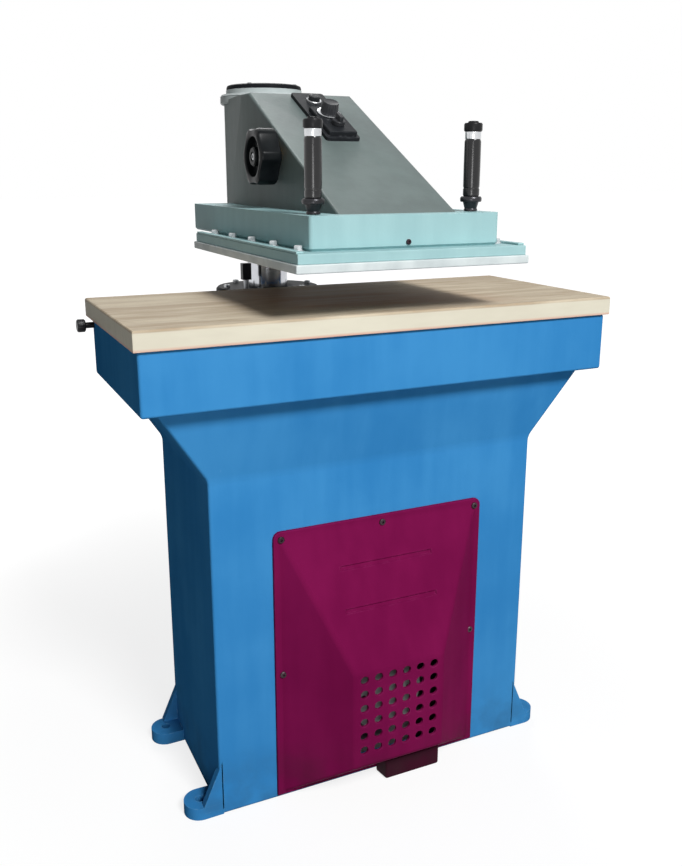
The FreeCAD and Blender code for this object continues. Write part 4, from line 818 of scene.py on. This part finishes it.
piece("hand_wheel", bm, "depth_wheel", "black_plastic", black_wheel, "depth_handwheel")
bm = bmesh.new()
spot = wheel_foot - Vector((wheel_deep - hub_screw_sink, 0, 0))
socket_screw(bm, spot, (-1, 0, 0), hub_screw, hub_screw_tall, hub_screw_socket)
piece("wheel_screw", bm, "depth_wheel", "fastener_steel", plated_steel)

# Control panel: a dark plate on the ramp with a raised box, a selector, a timer dial and the start button.
# Folded and painted steel; the knobs are moulded, the dial's skirt is bright metal.
ramp_foot, ramp_rise, ramp_run = -0.209, 0.214, 0.416
ramp = Matrix.Translation((0, ramp_foot, beam_top)) @ Matrix.Rotation(math.atan2(ramp_rise, ramp_run), 4, "X")
ramp_up = ramp.to_3x3() @ Vector((0, 0, 1))
panel_x, panel_half, panel_foot, panel_head, panel_thick = 0.008, 0.034, 0.2618, 0.4598, 0.007
panel_corner, panel_edge = 0.006, 0.0014
deck_half, deck_foot, deck_head, deck_top, deck_edge = 0.028, 0.2678, 0.3758, 0.016, 0.002
selector_y, timer_y, start_y, knob_gap, spindle = 0.2978, 0.3438, 0.4198, 0.0003, 0.004
lever_lift, lever_edge, start_bore, start_radius = 0.0138, 0.0012, 0.0114, 0.015
panel_paint = enamel(
    "panel_paint", tint(40, 42, 45), tint(30, 32, 35), tint(92, 94, 98), gloss=0.3, peel=0.15
)
bm = bmesh.new()
slab(bm, (panel_x - panel_half, panel_foot, 0), (panel_x + panel_half, panel_head, panel_thick))
soften(bm, [e for e in bm.edges if abs(e.verts[0].co.z - e.verts[1].co.z) > 0.001], panel_corner, 4)
soften(bm, [e for e in crisp(bm, 60) if all(v.co.z > panel_thick - 1e-6 for v in e.verts)], panel_edge, 2)
box = slab(bm, (panel_x - deck_half, deck_foot, panel_thick / 2), (panel_x + deck_half, deck_head, deck_top))
top = [f for f in {f for v in box for f in v.link_faces} if f.normal.z > 0.9]
box_edges = {e for v in box for e in v.link_edges}
upright = [e for e in box_edges if abs(e.verts[0].co.z - e.verts[1].co.z) > 0.001]
soften(bm, upright + list(top[0].edges), deck_edge, 3)
bmesh.ops.transform(bm, matrix=ramp, verts=bm.verts)
piece("panel_box", bm, "arm", "black_enamel", panel_paint, "control_panel")
bm = bmesh.new()
selector_foot = ramp @ Vector((panel_x, selector_y, deck_top + knob_gap))
knob = [(0, -0.012), (spindle, -0.012), (spindle, 0), (0.0112, 0), (0.012, 0.0008), (0.012, 0.0078)]
knob += [(0.0108, 0.009), (0, 0.009)]
turned(bm, knob, selector_foot, ramp_up, 40)
lever_place = ramp @ Matrix.Translation((panel_x, selector_y, deck_top + lever_lift))
lever_size = Matrix.Diagonal((0.007, 0.0235, 0.0108, 1))
lever = bmesh.ops.create_cube(bm, size=1, matrix=lever_place @ lever_size)["verts"]
soften(bm, list({e for v in lever for e in v.link_edges}), lever_edge, 2)
knob_grey = moulded("knob_grey", tint(46, 47, 50), tint(110, 111, 114), 0.3, 0.1)
piece("selector", bm, "selector", "knob_grey", knob_grey, "selector_knob")
bm = bmesh.new()
timer_foot = ramp @ Vector((panel_x, timer_y, deck_top + knob_gap))
skirt_top, grip_inner, grip_ridges, ridge_depth = 0.0032, 0.0142, 18, 0.06
dial = [(0, -0.012), (spindle, -0.012), (spindle, 0), (0.0222, 0), (0.023, 0.0006), (0.023, 0.0022)]
dial += [(0.0215, 0.003), (0.0172, 0.003), (0.017, 0.0036), (0.0150, 0.0215), (0.0138, 0.023)]
dial += [(0.0125, 0.023), (0.0115, 0.0222), (0, 0.0222)]
across = ramp.to_3x3() @ Vector((1, 0, 0))
along = ramp_up.cross(across)
for vert in turned(bm, dial, timer_foot, ramp_up, 72):
    spoke = off_axis(vert, timer_foot, ramp_up)
    height = (vert.co - timer_foot).dot(ramp_up)
    if height > skirt_top and spoke.length > grip_inner:
        ridge = 0.5 + 0.5 * math.cos(grip_ridges * math.atan2(spoke.dot(along), spoke.dot(across)))
        vert.co -= spoke * ridge_depth * ridge
for face in bm.faces:
    middle = face.calc_center_median() - timer_foot
    face.material_index = int(0 <= middle.dot(ramp_up) < skirt_top)
piece("timer_dial", bm, "timer", "knob_grey", [knob_grey, bright_ring], "timer_knob")
start_foot = ramp @ Vector((panel_x, start_y, panel_thick))
bm = bmesh.new()
ring = [(start_bore, 0), (start_radius, 0), (start_radius, 0.003), (0.014, 0.004), (0.0122, 0.004)]
ring += [(start_bore, 0.0034), (start_bore, 0)]
turned(bm, ring, start_foot, ramp_up, 40)
piece("start_rim", bm, "arm", "bright_steel", plated_steel, "start_button_rim")
bm = bmesh.new()
push = [(0, -0.012), (spindle, -0.012), (spindle, 0.0033), (0.011, 0.0033), (0.011, 0.0106)]
push += [(0.0098, 0.012), (0.006, 0.0123), (0, 0.0118)]
turned(bm, push, start_foot, ramp_up, 40)
start_moulding = moulded("start_moulding", tint(40, 42, 44), tint(96, 98, 100), 0.2, 0.05)
piece("start_push", bm, "start", "button_green", start_moulding, "start_button")

# Studio: a plain pale floor, a white surround, and three soft lamps.
# The key lamp stands high in front, a low strip at the front left and a weak lamp high behind.
# The floor is white to the lens and keeps the shadow of the press.
floor_size, floor_level = 40.0, -0.0006
bm = bmesh.new()
ground = Matrix.Translation((0, 0, floor_level))
bmesh.ops.create_grid(bm, x_segments=1, y_segments=1, size=floor_size, matrix=ground)
mesh = bpy.data.meshes.new("studio_floor")
bm.to_mesh(mesh)
bm.free()
floor = bpy.data.objects.new("studio_floor", mesh)
bpy.context.scene.collection.objects.link(floor)
material, shader, place = new_finish("studio_floor")
shown = place.node("ShaderNodeLightPath", None, None, "Is Camera Ray")
mirrored = place.node("ShaderNodeLightPath", None, None, "Is Glossy Ray")
passed = place.node("ShaderNodeLightPath", None, None, "Is Transmission Ray")
seen = shown + mirrored + passed
mottle = noise(place, 3.0, 3)
reach = place.node("ShaderNodeVectorMath", {"operation": "LENGTH"}, {0: place}, "Value")
away = reach.band(0.5, 2.2)
grey = (mottle * 0.1).blend(tint(128, 128, 128), tint(134, 134, 134))
lit = seen.node("ShaderNodeBsdfDiffuse", None, {"Color": grey})
glow = seen.node("ShaderNodeEmission", None, {"Color": (1, 1, 1, 1), "Strength": seen * (0.80 + away * 0.24)})
both = seen.node("ShaderNodeAddShader", None, {0: lit, 1: glow})
material.node_tree.links.new(both.socket, material.node_tree.nodes["Material Output"].inputs["Surface"])
mesh.materials.append(material)
world = bpy.data.worlds.new("studio")
bpy.context.scene.world = world
world.use_nodes = True
tree = world.node_tree
path = tree.nodes.new("ShaderNodeLightPath")
seen = Signal(tree, path.outputs["Is Camera Ray"]) + Signal(tree, path.outputs["Is Glossy Ray"])
seen = seen + Signal(tree, path.outputs["Is Transmission Ray"])
surround = tree.nodes["Background"]
surround.inputs["Color"].default_value = (1, 1, 1, 1)
level = seen * 0.93 + 0.07
tree.links.new(level.socket, surround.inputs["Strength"])


def lamp(name, place, aim, width, height, power):
    light = bpy.data.lights.new(name, "AREA")
    light.shape, light.size, light.size_y, light.energy = "ELLIPSE", width, height, power
    made = bpy.data.objects.new(name, light)
    made.location = place
    made.rotation_euler = (Vector(aim) - Vector(place)).to_track_quat("-Z", "Y").to_euler()
    bpy.context.scene.collection.objects.link(made)


lamp("key_lamp", (0.5, -4.9, 5.0), (0, 0, 0.7), 1.8, 1.8, 450)
lamp("strip_lamp", (-1.5, -3.4, 0.7), (-0.1, -0.2, 1.1), 0.8, 1.8, 30)
lamp("rear_lamp", (1.2, 4.8, 4.6), (0, 0.2, 0.7), 2.4, 2.4, 85)
bpy.context.scene.view_settings.view_transform = "Standard"

# Camera: at the photograph's place and angle; its lens and shift are fitted to a picture 682 wide and 866
# high.
# No depth of field.
camera_place, camera_dip, camera_turn = (-0.72419, -1.53323, 1.14937), 14.68, -25.02
lens = bpy.data.cameras.new("photo_camera")
lens.sensor_fit, lens.sensor_height, lens.lens, lens.shift_y = "VERTICAL", 36.0, 37.395, -0.0293
lens.clip_end = 200
camera = bpy.data.objects.new("photo_camera", lens)
camera.location = camera_place
camera.rotation_euler = (math.radians(90 - camera_dip), 0, math.radians(camera_turn))
bpy.context.scene.collection.objects.link(camera)
bpy.context.scene.camera = camera

bpy.context.view_layer.update()
